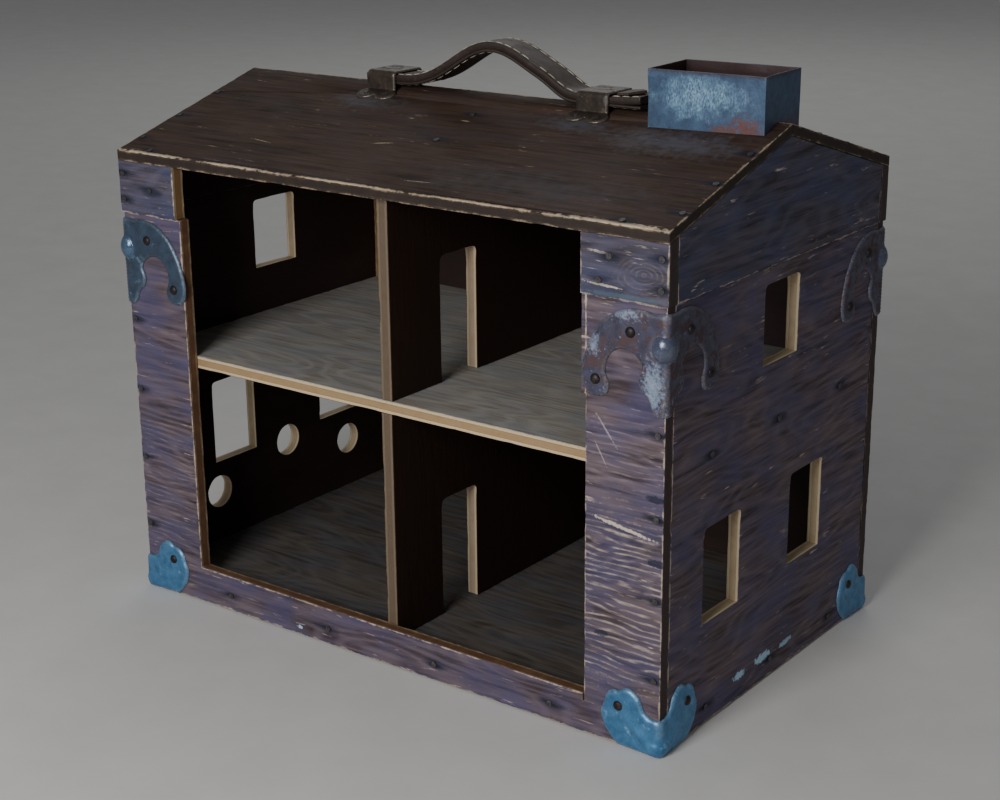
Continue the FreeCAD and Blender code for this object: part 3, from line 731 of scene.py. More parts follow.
WALL_MARKS = (
    Mark(MarkKind.PAINT, (-42.0, 18.0), (8.0, 3.0), "#a8cbe0", 0.95, grain=3.0),
    Mark(MarkKind.PAINT, (-10.0, 19.0), (12.0, 3.4), "#a8cbe0", 0.95, grain=3.0),
    Mark(MarkKind.PAINT, (22.0, 18.0), (9.0, 2.6), "#9dbdd3", 0.9, grain=3.0),
)
ROOF_MARKS = (
    Mark(MarkKind.PAINT, (172.0, -42.0), (58.0, 20.0), "#60636e", 0.5, ragged=0.6, grain=6.0, soft=0.9),
    Mark(MarkKind.PAINT, (92.0, -32.0), (34.0, 14.0), "#585a63", 0.5, ragged=0.6, grain=6.0, soft=0.9),
    Mark(MarkKind.PAINT, (-92.0, -32.0), (34.0, 14.0), "#585a63", 0.45, ragged=0.6, grain=6.0, soft=0.9),
    Mark(MarkKind.PAINT, (120.0, -118.0), (90.0, 24.0), "#4c4b52", 0.35, ragged=0.6, grain=9.0, soft=1.0),
    Mark(MarkKind.PAINT, (-200.0, -143.6), (34.0, 1.7), "#c8b59b", 0.9, grain=4.0),
    Mark(MarkKind.PAINT, (-120.0, -144.0), (30.0, 1.3), "#c8b59b", 0.8, turn=0.4, grain=4.0),
    Mark(MarkKind.PAINT, (-20.0, -144.2), (44.0, 1.2), "#bda88c", 0.75, grain=5.0),
    Mark(MarkKind.PAINT, (96.0, -144.2), (40.0, 1.1), "#bda88c", 0.7, grain=5.0),
    Mark(MarkKind.PAINT, (196.0, -143.4), (40.0, 2.0), "#c8b59b", 0.9, grain=4.0),
    Mark(MarkKind.PAINT, (-30.0, -88.0), (8.0, 0.6), "#b5a690", 0.7, turn=14.0, grain=2.0),
    Mark(MarkKind.PAINT, (35.0, -130.0), (12.0, 0.5), "#a99a86", 0.6, turn=4.0, grain=2.0),
    Mark(MarkKind.PAINT, (-128.0, -106.0), (10.0, 0.5), "#a99a86", 0.6, turn=-8.0, grain=2.0),
)


@dataclass
class Boards:
    """All the plywood of the house, each board copied from its frame node and worn at its arrises."""

    arris: float = 0.55
    nick: float = 0.55
    step: float = 5.0
    shortest: float = 0.75
    left_post: float = 59.5
    right_post: float = 59.5
    rail: float = 27.5
    nail_nodes: tuple[str, ...] = ("frame_nails", "cap_nails", "back_nails", "wall_nails", "roof_nails")
    heads: list[Vector] = field(default_factory=list)

    def front_hole(self) -> tuple[float, float, float, float]:
        """The room opening in the front board, in the board's own plane."""
        low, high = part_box("front_frame")
        start = WOOD_LEFT + self.left_post
        end = -WOOD_LEFT - self.right_post
        return start, end, low.z / MM + self.rail, high.z / MM + 40.0

    def plans(self) -> list[tuple[BoardPlan, Plywood]]:
        """Lists every board with its finish.

        Returns:
            Each board's plan and the plywood finish that it has.
        """
        low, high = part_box("roof_front")
        fall = high.z - low.z - roof_drop() * MM
        slope = math.atan2(fall, high.y - low.y)
        front_up = (0.0, -math.sin(slope), math.cos(slope))
        rear_up = (0.0, math.sin(slope), math.cos(slope))
        up = (0.0, 0.0, 1.0)
        back = (0.0, 1.0, 0.0)
        front = (0.0, -1.0, 0.0)
        left = (-1.0, 0.0, 0.0)
        right = (1.0, 0.0, 0.0)
        ends = -WOOD_LEFT - 8.0
        body = "stained_plywood_body"
        band = "stained_plywood_band"
        floor = "bare_plywood_floor"
        inner = "brown_plywood_partition"
        roof = "weathered_plywood_roof"
        pine = "pine_batten"
        left_holes = (
            "left_upper_window",
            "left_front_window",
            "left_rear_window",
            "round_hole_a",
            "round_hole_b",
            "round_hole_c",
        )
        right_holes = ("right_upper_window", "right_front_window", "right_rear_window")
        rows = [
            (
                BoardPlan(
                    "front_frame",
                    body,
                    Axis.X,
                    front,
                    up,
                    holes=(self.front_hole(),),
                    stained_ends=ends,
                    marks=FRONT_MARKS,
                ),
                BODY_STAIN,
            ),
            (BoardPlan("left_wall", body, Axis.Y, left, up, hole_names=left_holes, shift=7.0), WALL_STAIN),
            (
                BoardPlan(
                    "right_wall", body, Axis.Y, right, up, hole_names=right_holes, shift=19.0, marks=WALL_MARKS
                ),
                WALL_STAIN,
            ),
            (BoardPlan("back_panel", body, Axis.X, back, up, shift=31.0, stained_ends=ends), BODY_STAIN),
            (BoardPlan("front_cap_left", band, Axis.X, front, up, shift=5.0, stained_ends=ends), BAND_STAIN),
            (
                BoardPlan(
                    "front_cap_right", band, Axis.X, front, up, shift=43.0, stained_ends=ends, marks=CAP_MARKS
                ),
                BAND_STAIN,
            ),
            (BoardPlan("left_gable", band, Axis.Y, left, up, shift=13.0), BAND_STAIN),
            (BoardPlan("right_gable", band, Axis.Y, right, up, shift=17.0), BAND_STAIN),
            (BoardPlan("back_band", band, Axis.X, back, up, shift=29.0, stained_ends=ends), BAND_STAIN),
            (BoardPlan("roof_front", roof, Axis.X, front_up, back, marks=ROOF_MARKS), ROOF_BOARD),
            (BoardPlan("roof_rear", roof, Axis.X, rear_up, back, shift=47.0), ROOF_BOARD),
            (BoardPlan("upper_floor", floor, Axis.X, up, back), FLOOR_BOARD),
            (BoardPlan("base_board", floor, Axis.X, up, back, shift=59.0), BASE_BOARD),
            (
                BoardPlan(
                    "lower_partition", inner, Axis.Z, left, up, hole_names=("lower_doorway",), stained_ends=118.0
                ),
                PARTITION,
            ),
            (
                BoardPlan(
                    "upper_partition", inner, Axis.Z, left, up, hole_names=("upper_doorway",), stained_ends=118.0
                ),
                PARTITION,
            ),
        ]
        for number, place in enumerate(("front", "rear")):
            for name in (f"{place}_batten_left", f"{place}_batten_right"):
                rows.append((BoardPlan(name, pine, Axis.Z, front, up, shift=3.0 * number), SAWN_PINE))
        return rows

    def find_heads(self) -> None:
        """Finds where each nail head sits, from the loose solids of the nail nodes."""
        for node in self.nail_nodes:
            for places in loose_parts(node):
                low = Vector([min(place[i] for place in places) for i in range(3)])
                high = Vector([max(place[i] for place in places) for i in range(3)])
                middle = (low + high) / 2.0
                size = high - low
                long_way = max(range(3), key=lambda i: size[i])
                wide = [place for place in places if (flattened(place - middle, long_way)).length > 1.5]
                if wide:
                    middle[long_way] = sum(place[long_way] for place in wide) / len(wide)
                    self.heads.append(middle)

    def heads_on(self, node: str) -> list[Vector]:
        """The nail heads that stand on one board."""
        low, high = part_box(node)
        margin = Vector((1.0, 1.0, 1.0))
        low, high = low / MM - margin, high / MM + margin
        return [head for head in self.heads if all(low[i] <= head[i] <= high[i] for i in range(3))]

    def build(self) -> None:
        """Builds and dresses every board."""
        self.find_heads()
        for plan, finish in self.plans():
            piece = worn_copy(plan.node, f"{plan.node}_board", self.arris, self.nick, self.step, self.shortest)
            piece.data.materials.append(finish.dress(plan, self.heads_on(plan.node)))
            place_piece(piece, HOUSE, plan.slot, plan.node)


# ---------------------------------------------------------------------------- mesh helpers


def flattened(place: Vector, way: int) -> Vector:
    """A vector without its part along one axis."""
    kept = place.copy()
    kept[way] = 0.0
    return kept


def roof_drop() -> float:
    """Thickness of the roof board measured upright, in millimetres."""
    low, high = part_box("roof_front")
    data = frame["nodes"]["roof_front"].data
    edge = [vertex.co.z for vertex in data.vertices if vertex.co.y < low.y + 0.0005]
    return (max(edge) - min(edge)) / MM


def roof_height(y: float) -> float:
    """Height of the roof's upper face at a distance from the middle of the house, in millimetres."""
    low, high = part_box("roof_front")
    run = (high.y - low.y) / MM
    fall = (high.z - low.z) / MM - roof_drop()
    return high.z / MM - abs(y) / run * fall


def loose_parts(node: str) -> list[list[Vector]]:
    """Splits a frame node into its separate solids.

    Args:
        node: The node's name.

    Returns:
        The places of each solid's vertices, in millimetres.
    """
    shape = bmesh.new()
    shape.from_mesh(frame["nodes"][node].data)
    bmesh.ops.remove_doubles(shape, verts=shape.verts, dist=2e-6)
    left = set(shape.verts)
    parts = []
    for first in shape.verts:
        if first not in left:
            continue
        left.remove(first)
        front = [first]
        part = []
        while front:
            here = front.pop()
            part.append(here.co / MM)
            for edge in here.link_edges:
                other = edge.other_vert(here)
                if other in left:
                    left.remove(other)
                    front.append(other)
        parts.append(part)
    shape.free()
    return parts


def split_evenly(edge: bmesh.types.BMEdge, pieces: int) -> None:
    """Adds evenly spaced vertices along an edge without touching its faces."""
    start, end = edge.verts
    for left in range(pieces, 1, -1):
        _, middle = bmesh.utils.edge_split(edge, start, 1.0 / left)
        edge = next(other for other in middle.link_edges if end in other.verts)
        start = middle


def sharp_edges(shape: bmesh.types.BMesh, shortest: float) -> list[bmesh.types.BMEdge]:
    """The arrises of a shape, without the rims of its nail holes."""
    found = []
    for edge in shape.edges:
        if len(edge.link_faces) == 2 and edge.calc_length() > shortest * MM:
            if edge.calc_face_angle() > math.radians(30.0):
                found.append(edge)
    return found


def new_object(name: str, shape: bmesh.types.BMesh) -> bpy.types.Object:
    """Turns a finished shape into an object of the scene."""
    data = bpy.data.meshes.new(name)
    shape.to_mesh(data)
    shape.free()
    made = bpy.data.objects.new(name, data)
    bpy.context.scene.collection.objects.link(made)
    return made


def worn_copy(
    node: str, name: str, arris: float, nick: float, step: float, shortest: float
) -> bpy.types.Object:
    """Copies a frame node and wears its arrises: rounded, and pressed in unevenly along their length.

    Args:
        node: The frame node to stand for.
        name: The new object's name.
        arris: Radius of a rounded arris, in millimetres.
        nick: The deepest that an arris is pressed in, in millimetres.
        step: Distance between places where the wear can change, in millimetres.
        shortest: Edges below this length are nail-hole rims and stay sharp, in millimetres.

    Returns:
        The new object.
    """
    shape = bmesh.new()
    shape.from_mesh(frame["nodes"][node].data)
    bmesh.ops.remove_doubles(shape, verts=shape.verts, dist=2e-6)
    bmesh.ops.dissolve_limit(
        shape, angle_limit=math.radians(0.8), verts=shape.verts[:], edges=shape.edges[:]
    )
    for edge in sharp_edges(shape, 2.0 * step):
        split_evenly(edge, int(edge.calc_length() / (step * MM)))
    arrises = sharp_edges(shape, shortest)
    moves = {}
    for vertex in {vertex for edge in arrises for vertex in edge.verts}:
        inward = Vector()
        for face in vertex.link_faces:
            inward -= face.normal
        rough = noise.noise(vertex.co / (14.0 * MM)) + 0.6 * noise.noise(vertex.co / (5.0 * MM))
        if inward.length > 0.01:
            moves[vertex] = inward.normalized() * max(0.0, rough) * nick * MM
    for vertex, move in moves.items():
        vertex.co += move
    rounded = bmesh.ops.bevel(
        shape,
        geom=arrises,
        offset=arris * MM,
        offset_type="OFFSET",
        segments=2,
        profile=0.5,
        affect="EDGES",
        clamp_overlap=False,
    )
    for face in rounded["faces"]:
        face.smooth = True
    return new_object(name, shape)


def place_piece(piece: bpy.types.Object, body: str, slot: str, *replaced: str) -> None:
    """Fixes a finished piece to its body and hides the frame nodes that it stands for.

    Args:
        piece: The piece.
        body: The frame body it moves with.
        slot: The record's material slot; not used.
        *replaced: Frame nodes that it stands for.
    """
    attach(piece, body)
    if replaced:
        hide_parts(*replaced)
    log.info("%s: %d faces on %s", piece.name, len(piece.data.polygons), body)


# ---------------------------------------------------------------------------- pressed metal


@dataclass(frozen=True)
class Enamel:
    """Thin steel sheet with a blued or rusted coat.

    Broad cloudy patches vary the coat, brown rust comes through in ragged spots, small chips show
    bare bright metal and the worn places are a little glossier than the rest.
    """

    name: str
    base: str
    cloud: str
    rust: str
    bright: str
    rust_low: float
    chip_low: float = 0.68
    metallic: float = 0.55
    roughness: float = 0.42
    bloom: str = "#a9bccb"
    bloom_low: float = 0.60
    bloom_size: float = 9.0
    bloom_stretch: tuple[float, float, float] = (1.0, 1.0, 1.0)
    spots: tuple[tuple[float, float, float, float, str], ...] = ()
    frost: tuple[float, float, float, float] | None = None
    inner: str = ""
    inner_axis: tuple[float, float] = (0.0, 0.0)
    rim_height: float = 0.0
    # Lighter colour painted over a pressed ball as its painted highlight.
    painted_ball_highlight: str = ""

    def dress(self, name: str, ball: Vector | None = None) -> bpy.types.Material:
        """Builds the material.

        Args:
            name: Ending of the material's name.
            ball: The middle of a pressed ball, if there is one; the ball gets a painted highlight, a lighter colour
                with a lower roughness.

        Returns:
            The material.
        """
        shade = Shade(f"{self.name}.{name}")
        coat = shade.patches(7.0, 0.36, 0.66, detail=5.0)
        fine = shade.patches(1.4, 0.30, 0.72, detail=6.0, shift=5.0)
        colour = shade.over(self.base, self.cloud, coat)
        colour = shade.over(colour, self.cloud, shade.sum_of(fine, 0.35))
        bloom = shade.patches(
            self.bloom_size, self.bloom_low, self.bloom_low + 0.09, self.bloom_stretch, 7.0, 17.0
        )
        colour = shade.over(colour, self.bloom, shade.sum_of(bloom, 0.75))
        rust = shade.patches(5.5, self.rust_low, self.rust_low + 0.08, detail=8.0, shift=29.0)
        colour = shade.over(colour, self.rust, shade.sum_of(rust, 0.85))
        split = shade.add("ShaderNodeSeparateXYZ", {0: shade.place})
        upright = shade.add("ShaderNodeCombineXYZ", {"X": split.outputs["X"], "Y": split.outputs["Z"]})
        if self.frost:
            x, z, wide, high = self.frost
            zone = shade.spot(upright, (x, z), (wide, high), ragged=0.5, grain=7.0, soft=0.8)
            haze = shade.sum_of(zone, 0.42)
            lace = shade.patches(1.1, 0.36, 0.66, (1.0, 1.0, 0.5), 8.0, 57.0)
            lace = shade.sum_of(shade.sum_of(lace, zone), 0.72)
            colour = shade.over(colour, self.cloud, haze)
            colour = shade.over(colour, self.bloom, lace)
        for x, z, wide, high, tint in self.spots:
            patch = shade.spot(upright, (x, z), (wide, high), ragged=0.8, grain=2.2, soft=0.7)
            patch = shade.sum_of(patch, shade.patches(1.6, 0.28, 0.5, detail=6.0, shift=x))
            colour = shade.over(colour, tint, shade.sum_of(patch, 0.9))
        if self.rim_height:
            rim = shade.add(
                "ShaderNodeMapRange",
                {"Value": split.outputs["Z"], "From Min": self.rim_height - 3.0, "From Max": self.rim_height},
            )
            colour = shade.over(colour, self.inner, shade.sum_of(rim, 0.8))
        if self.inner:
            away = shade.add(
                "ShaderNodeVectorMath", {0: shade.place, 1: (*self.inner_axis, 0.0)}, operation="SUBTRACT"
            )
            inward = shade.add(
                "ShaderNodeVectorMath", {0: shade.facing, 1: away}, operation="DOT_PRODUCT"
            ).outputs["Value"]
            is_inner = shade.add("ShaderNodeMapRange", {"Value": inward, "From Min": -2.0, "From Max": -6.0})
            rusted = shade.over(self.inner, self.rust, fine)
            colour = shade.over(colour, rusted, is_inner)
        # Painted highlight: the pressed ball is painted a lighter colour in place of the light that shines on it.
        if ball is not None:
            reach = shade.add(
                "ShaderNodeVectorMath", {0: shade.place, 1: tuple(ball)}, operation="DISTANCE"
            ).outputs["Value"]
            near = shade.add(
                "ShaderNodeMapRange", {"Value": reach, "From Min": 8.4, "From Max": 10.6, "To Min": 1.0, "To Max": 0.0}
            )
            colour = shade.over(colour, self.painted_ball_highlight, shade.sum_of(near, 0.6))
        ridge = shade.add("ShaderNodeNewGeometry").outputs["Pointiness"]
        high_spot = shade.add("ShaderNodeMapRange", {"Value": ridge, "From Min": 0.53, "From Max": 0.60})
        chips = shade.patches(1.9, self.chip_low, self.chip_low + 0.04, detail=5.0, shift=43.0)
        bare = shade.add("ShaderNodeMath", {0: chips, 1: shade.sum_of(high_spot, fine)}, operation="MAXIMUM")
        colour = shade.over(colour, self.bright, shade.sum_of(bare, 0.8))
        dull = shade.add("ShaderNodeMath", {0: rust, 1: bloom}, operation="MAXIMUM")
        gloss = shade.add(
            "ShaderNodeMapRange",
            {"Value": dull, "To Min": self.roughness, "To Max": self.roughness + 0.32},
        )
        if ball is not None:
            gloss = shade.over(gloss, "#4c4c4c", shade.sum_of(near, 0.75))
        shine = shade.add(
            "ShaderNodeMapRange", {"Value": dull, "To Min": self.metallic, "To Max": 0.1}
        )
        shade.tree.links.new(shine.outputs[0], shade.shader.inputs["Metallic"])
        pitted = shade.over(fine, coat, 0.4)
        return shade.close(colour, gloss, shade.over(pitted, "#ffffff", rust), 0.09)


BLUE_STEEL = Enamel(
    name="blued_steel_enamel",
    base="#3a6b92",
    cloud="#548ab4",
    rust="#2f3038",
    bright="#b5cfdc",
    rust_low=0.68,
    bloom="#7eaacb",
    painted_ball_highlight="#7eaacb",
)
GREY_STEEL = Enamel(
    name="blue_grey_steel_sheet",
    base="#384455",
    cloud="#4b5b70",
    rust="#342b30",
    bright="#94a4b0",
    rust_low=0.60,
    bloom="#70879b",
    painted_ball_highlight="#5b7794",
)
RUSTY_STEEL = Enamel(
    name="rusted_steel_sheet",
    base="#3b3948",
    cloud="#504f64",
    rust="#4a3535",
    bright="#a9adb8",
    rust_low=0.50,
    chip_low=0.66,
    metallic=0.45,
    roughness=0.45,
    bloom="#8892a4",
    bloom_low=0.63,
    bloom_size=5.0,
    painted_ball_highlight="#566277",
    spots=(
        (226.0, 246.0, 8.0, 20.0, "#8f9db4"),
        (204.0, 291.0, 15.0, 4.5, "#858fa6"),
        (183.0, 270.0, 5.0, 9.0, "#858fa6"),
    ),
)
LOOP_STEEL = Enamel(
    name="tarnished_steel_sheet",
    base="#38332f",
    cloud="#55493f",
    rust="#4a3529",
    bright="#8d8377",
    rust_low=0.60,
    metallic=0.65,
    roughness=0.40,
    bloom="#5c5a5a",
)
IRON = Enamel(
    name="dark_iron_heads",
    base="#211c1d",
    cloud="#312a2b",
    rust="#3f2a20",
    bright="#6a6769",
    rust_low=0.56,
    metallic=0.6,
    roughness=0.45,
    bloom="#343338",
)
ZINC = Enamel(
    name="zinc_coated_sheet",
    base="#34465e",
    cloud="#455d7a",
    rust="#3a2620",
    bright="#8fa3b0",
    rust_low=0.70,
    chip_low=0.74,
    metallic=0.35,
    roughness=0.46,
    bloom="#a0cbe6",
    bloom_low=0.72,
    spots=((214.0, 384.0, 13.0, 8.5, "#6e3f2b"), (197.0, 382.0, 9.0, 4.2, "#6a4231")),
    frost=(181.0, 402.5, 36.0, 15.0),
    inner="#38262a",
    inner_axis=(183.8, 2.8),
    rim_height=418.1,
)


def smooth_ring(marks: Sequence[tuple[float, float]], steps: int) -> list[Vector]:
    """Draws an even curve through a closed or open row of marks.

    Args:
        marks: Places that the curve passes through.
        steps: Number of places between two marks.

    Returns:
        Places along the curve, from the first mark to the last.
    """
    spots = [Vector(mark) for mark in marks]
    curve = []
    for index in range(len(spots) - 1):
        before = spots[max(0, index - 1)]
        start, end = spots[index], spots[index + 1]
        after = spots[min(len(spots) - 1, index + 2)]
        for step in range(steps):
            share = step / steps
            curve.append(
                0.5
                * (
                    2.0 * start
                    + (end - before) * share
                    + (2.0 * before - 5.0 * start + 4.0 * end - after) * share**2
                    + (3.0 * start - before - 3.0 * end + after) * share**3
                )
            )
    curve.append(spots[-1])
    return curve


def even_ring(places: Sequence[Vector], spacing: float) -> list[Vector]:
    """Spaces the places of a closed outline evenly, keeping its sharp corners.

    Args:
        places: The outline.
        spacing: Wanted distance between places, in millimetres.

    Returns:
        The new outline.
    """
    ring = []
    for index, start in enumerate(places):
        end = places[(index + 1) % len(places)]
        gap = (end - start).length
        if gap < 1e-6:
            continue
        parts = max(1, round(gap / spacing))
        ring.extend(start.lerp(end, part / parts) for part in range(parts))
    thinned = [ring[0]]
    for spot in ring[1:]:
        if (spot - thinned[-1]).length > 0.45 * spacing:
            thinned.append(spot)
    return thinned


def inside(outline: Sequence[Vector], spot: Vector) -> bool:
    """Whether a place lies inside a closed outline."""
    found = False
    for index, start in enumerate(outline):
        end = outline[(index + 1) % len(outline)]
        if (start.y > spot.y) != (end.y > spot.y):
            if spot.x < (end.x - start.x) * (spot.y - start.y) / (end.y - start.y) + start.x:
                found = not found
    return found


def outline_distance(outline: Sequence[Vector], spot: Vector) -> float:
    """Distance from a place to a closed outline, in the outline's own unit."""
    best = 1e9
    for index, start in enumerate(outline):
        way = outline[(index + 1) % len(outline)] - start
        share = min(1.0, max(0.0, (spot - start).dot(way) / max(way.length_squared, 1e-12)))
        best = min(best, (start + way * share - spot).length)
    return best


@dataclass
class PressedSheet:
    """A thin plate stamped from sheet: a flat blank with a raised, rounded face.

    The blank is meshed finely, given a crown that rises from the rim, and laid on the work by a
    function that says where a place of the blank comes to lie and which way is out.
    """

    name: str
    outline: list[Vector]
    lay: Callable[[Vector, float], Vector]
    thick: float = 1.4
    crown: float = 1.1
    rise: float = 3.6
    spacing: float = 1.5
    bump: Callable[[Vector], float] | None = None
    ball: tuple[Vector, float] | None = None
    ball_tall: float = 1.0
    fine: tuple[Vector, float] | None = None

    def swollen(self, place: Vector) -> Vector:
        """Pushes a place of the outer face out to the pressed ball, with a soft foot round it."""
        if self.ball is None:
            return place
        centre, radius = self.ball
        tall = Vector((1.0, 1.0, self.ball_tall))
        away = place - centre
        away.z /= self.ball_tall
        reach = away.length
        gap = 0.5
        if reach < radius - gap:
            return centre + away.normalized() * radius * tall
        if reach < radius + gap:
            share = (reach - radius + gap) / (2.0 * gap)
            return centre + away.normalized() * (radius + gap * share**2) * tall
        return place

    def grid(self, ring: Sequence[Vector]) -> list[Vector]:
        """Fills an outline with places, closer together in the fine zone."""
        places = []
        low_x, high_x = min(spot.x for spot in ring), max(spot.x for spot in ring)
        low_y, high_y = min(spot.y for spot in ring), max(spot.y for spot in ring)
        for spacing, is_fine in ((self.spacing, False), (0.45 * self.spacing, True)):
            if is_fine and self.fine is None:
                continue
            for row in range(int((high_y - low_y) / (0.87 * spacing)) + 1):
                for column in range(int((high_x - low_x) / spacing) + 1):
                    shifted = column + (0.5 if row % 2 else 0.0)
                    spot = Vector((low_x + shifted * spacing, low_y + row * 0.87 * spacing))
                    near = self.fine is not None and (spot - self.fine[0]).length < self.fine[1]
                    if near != is_fine or not inside(ring, spot):
                        continue
                    if outline_distance(ring, spot) > 0.55 * spacing:
                        places.append(spot)
        return places

    def height(self, spot: Vector, from_rim: float) -> float:
        """Height of the sheet's outer face over the work, in millimetres."""
        share = min(1.0, from_rim / self.rise)
        dome = math.sqrt(1.0 - (1.0 - share) ** 2)
        extra = self.bump(spot) if self.bump else 0.0
        rim = 0.45 * self.thick
        return rim + (self.thick - rim + self.crown) * dome + extra * smoothstep(from_rim / 1.5)

    def build(self) -> bpy.types.Object:
        """Meshes the stamping.

        Returns:
            The new object.
        """
        ring = even_ring(self.outline, self.spacing)
        count = len(ring)
        places = ring + self.grid(ring)
        edges = [(index, (index + 1) % count) for index in range(count)]
        spots, _, faces, *_ = delaunay_2d_cdt(places, edges, [], 1, 1e-5)
        rims = [outline_distance(ring, spot) for spot in spots]
        shape = bmesh.new()
        upper = []
        lower = []
        for spot, from_rim in zip(spots, rims):
            outer = self.swollen(self.lay(spot, self.height(spot, from_rim)))
            upper.append(shape.verts.new(outer * MM))
            lower.append(shape.verts.new(self.lay(spot, 0.0) * MM))
        rim_edges = {}
        for face in faces:
            shape.faces.new([upper[index] for index in face])
            shape.faces.new([lower[index] for index in reversed(face)])
            for index, start in enumerate(face):
                end = face[(index + 1) % len(face)]
                key = (min(start, end), max(start, end))
                rim_edges[key] = None if key in rim_edges else (start, end)
        for pair in rim_edges.values():
            if pair:
                start, end = pair
                shape.faces.new((upper[end], upper[start], lower[start], lower[end]))
        bmesh.ops.recalc_face_normals(shape, faces=shape.faces)
        for part in shape.faces:
            part.smooth = True
        return new_object(self.name, shape)


class Corner(Enum):
    """The four upright corners of the house, as the sides they stand at."""

    FRONT_LEFT = (-1.0, -1.0)
    FRONT_RIGHT = (1.0, -1.0)
    REAR_LEFT = (-1.0, 1.0)
    REAR_RIGHT = (1.0, 1.0)

    @property
    def ending(self) -> str:
        """The ending that names of this corner have."""
        return self.name.lower()

    def inward(self, inset: float, z: float) -> Vector:
        """A place inside this corner, the same distance in from both outer faces."""
        side_x, side_y = self.value
        return Vector((side_x * (-WOOD_LEFT - inset), side_y * (-WOOD_FRONT - inset), z))

    def fold(self, bend: float) -> Callable[[Vector, float], Vector]:
        """Gives the fold that lays a flat blank round this corner of the body.

        Args:
            bend: Radius of the fold, in millimetres.

        Returns:
            A function from a place of the blank and a height to a place in space.
        """
        side_x, side_y = self.value
        corner_x, corner_y, _ = self.inward(BAND_STEP, 0.0)

        def lay(spot: Vector, height: float) -> Vector:
            """Lays a place of the blank on the work."""
            half_arc = 0.25 * math.pi * bend
            turned = 0.25 * math.pi * (1.0 + min(1.0, max(-1.0, spot.x / half_arc)))
            along_x = max(0.0, spot.x - half_arc)
            along_y = max(0.0, -spot.x - half_arc)
            out_x, out_y = math.cos(turned), math.sin(turned)
            x = corner_x - side_x * (bend + along_x) + side_x * (bend + height) * out_x
            y = corner_y - side_y * (bend + along_y) + side_y * (bend + height) * out_y
            return Vector((x, y, spot.y + WOOD_FOOT))

        return lay


@dataclass
class CornerClamps:
    """Stamped trunk corners at the four upper corners, with a ball pressed into each fold."""

    marks: tuple[tuple[float, float], ...] = (
        (0.0, 65.0),
        (8.0, 64.0),
        (16.0, 65.0),
        (26.0, 64.5),
        (36.0, 61.0),
        (46.0, 53.5),
        (54.0, 42.0),
        (58.5, 30.0),
        (60.5, 19.0),
        (58.0, 9.0),
        (50.0, 5.5),
        (42.0, 8.0),
        (40.5, 15.0),
        (43.0, 22.0),
        (42.0, 30.0),
        (37.0, 36.5),
        (29.0, 39.0),
        (21.0, 36.0),
        (16.5, 30.0),
        (19.0, 22.0),
        (17.0, 15.0),
        (12.0, 11.0),
        (9.0, 4.0),
        (5.0, 0.0),
    )
    foot: float = 228.0
    ball_height: float = 43.0
    ball_radius: float = 8.0
    ball_inset: float = 4.0
    bend: float = 1.2

    def build(self) -> None:
        """Builds the four clamps."""
        half = [Vector((u, v + self.foot)) for u, v in smooth_ring(self.marks, 4)]
        blank = mirrored_blank(half)
        for corner in Corner:
            finish = RUSTY_STEEL if corner.value[0] > 0 else GREY_STEEL
            slot = "rusted_steel" if corner.value[0] > 0 else "blued_steel"
            height = self.foot + self.ball_height
            ball = corner.inward(self.ball_inset, height + WOOD_FOOT)
            sheet = PressedSheet(
                f"clamp_{corner.ending}",
                blank,
                corner.fold(self.bend),
                crown=0.7,
                ball=(ball, self.ball_radius),
                ball_tall=1.3,
                fine=(Vector((0.0, height)), 9.0),
            )
            piece = sheet.build()
            piece.data.materials.append(finish.dress(piece.name, ball))
            place_piece(piece, HOUSE, slot, f"corner_clamp_{corner.ending}")


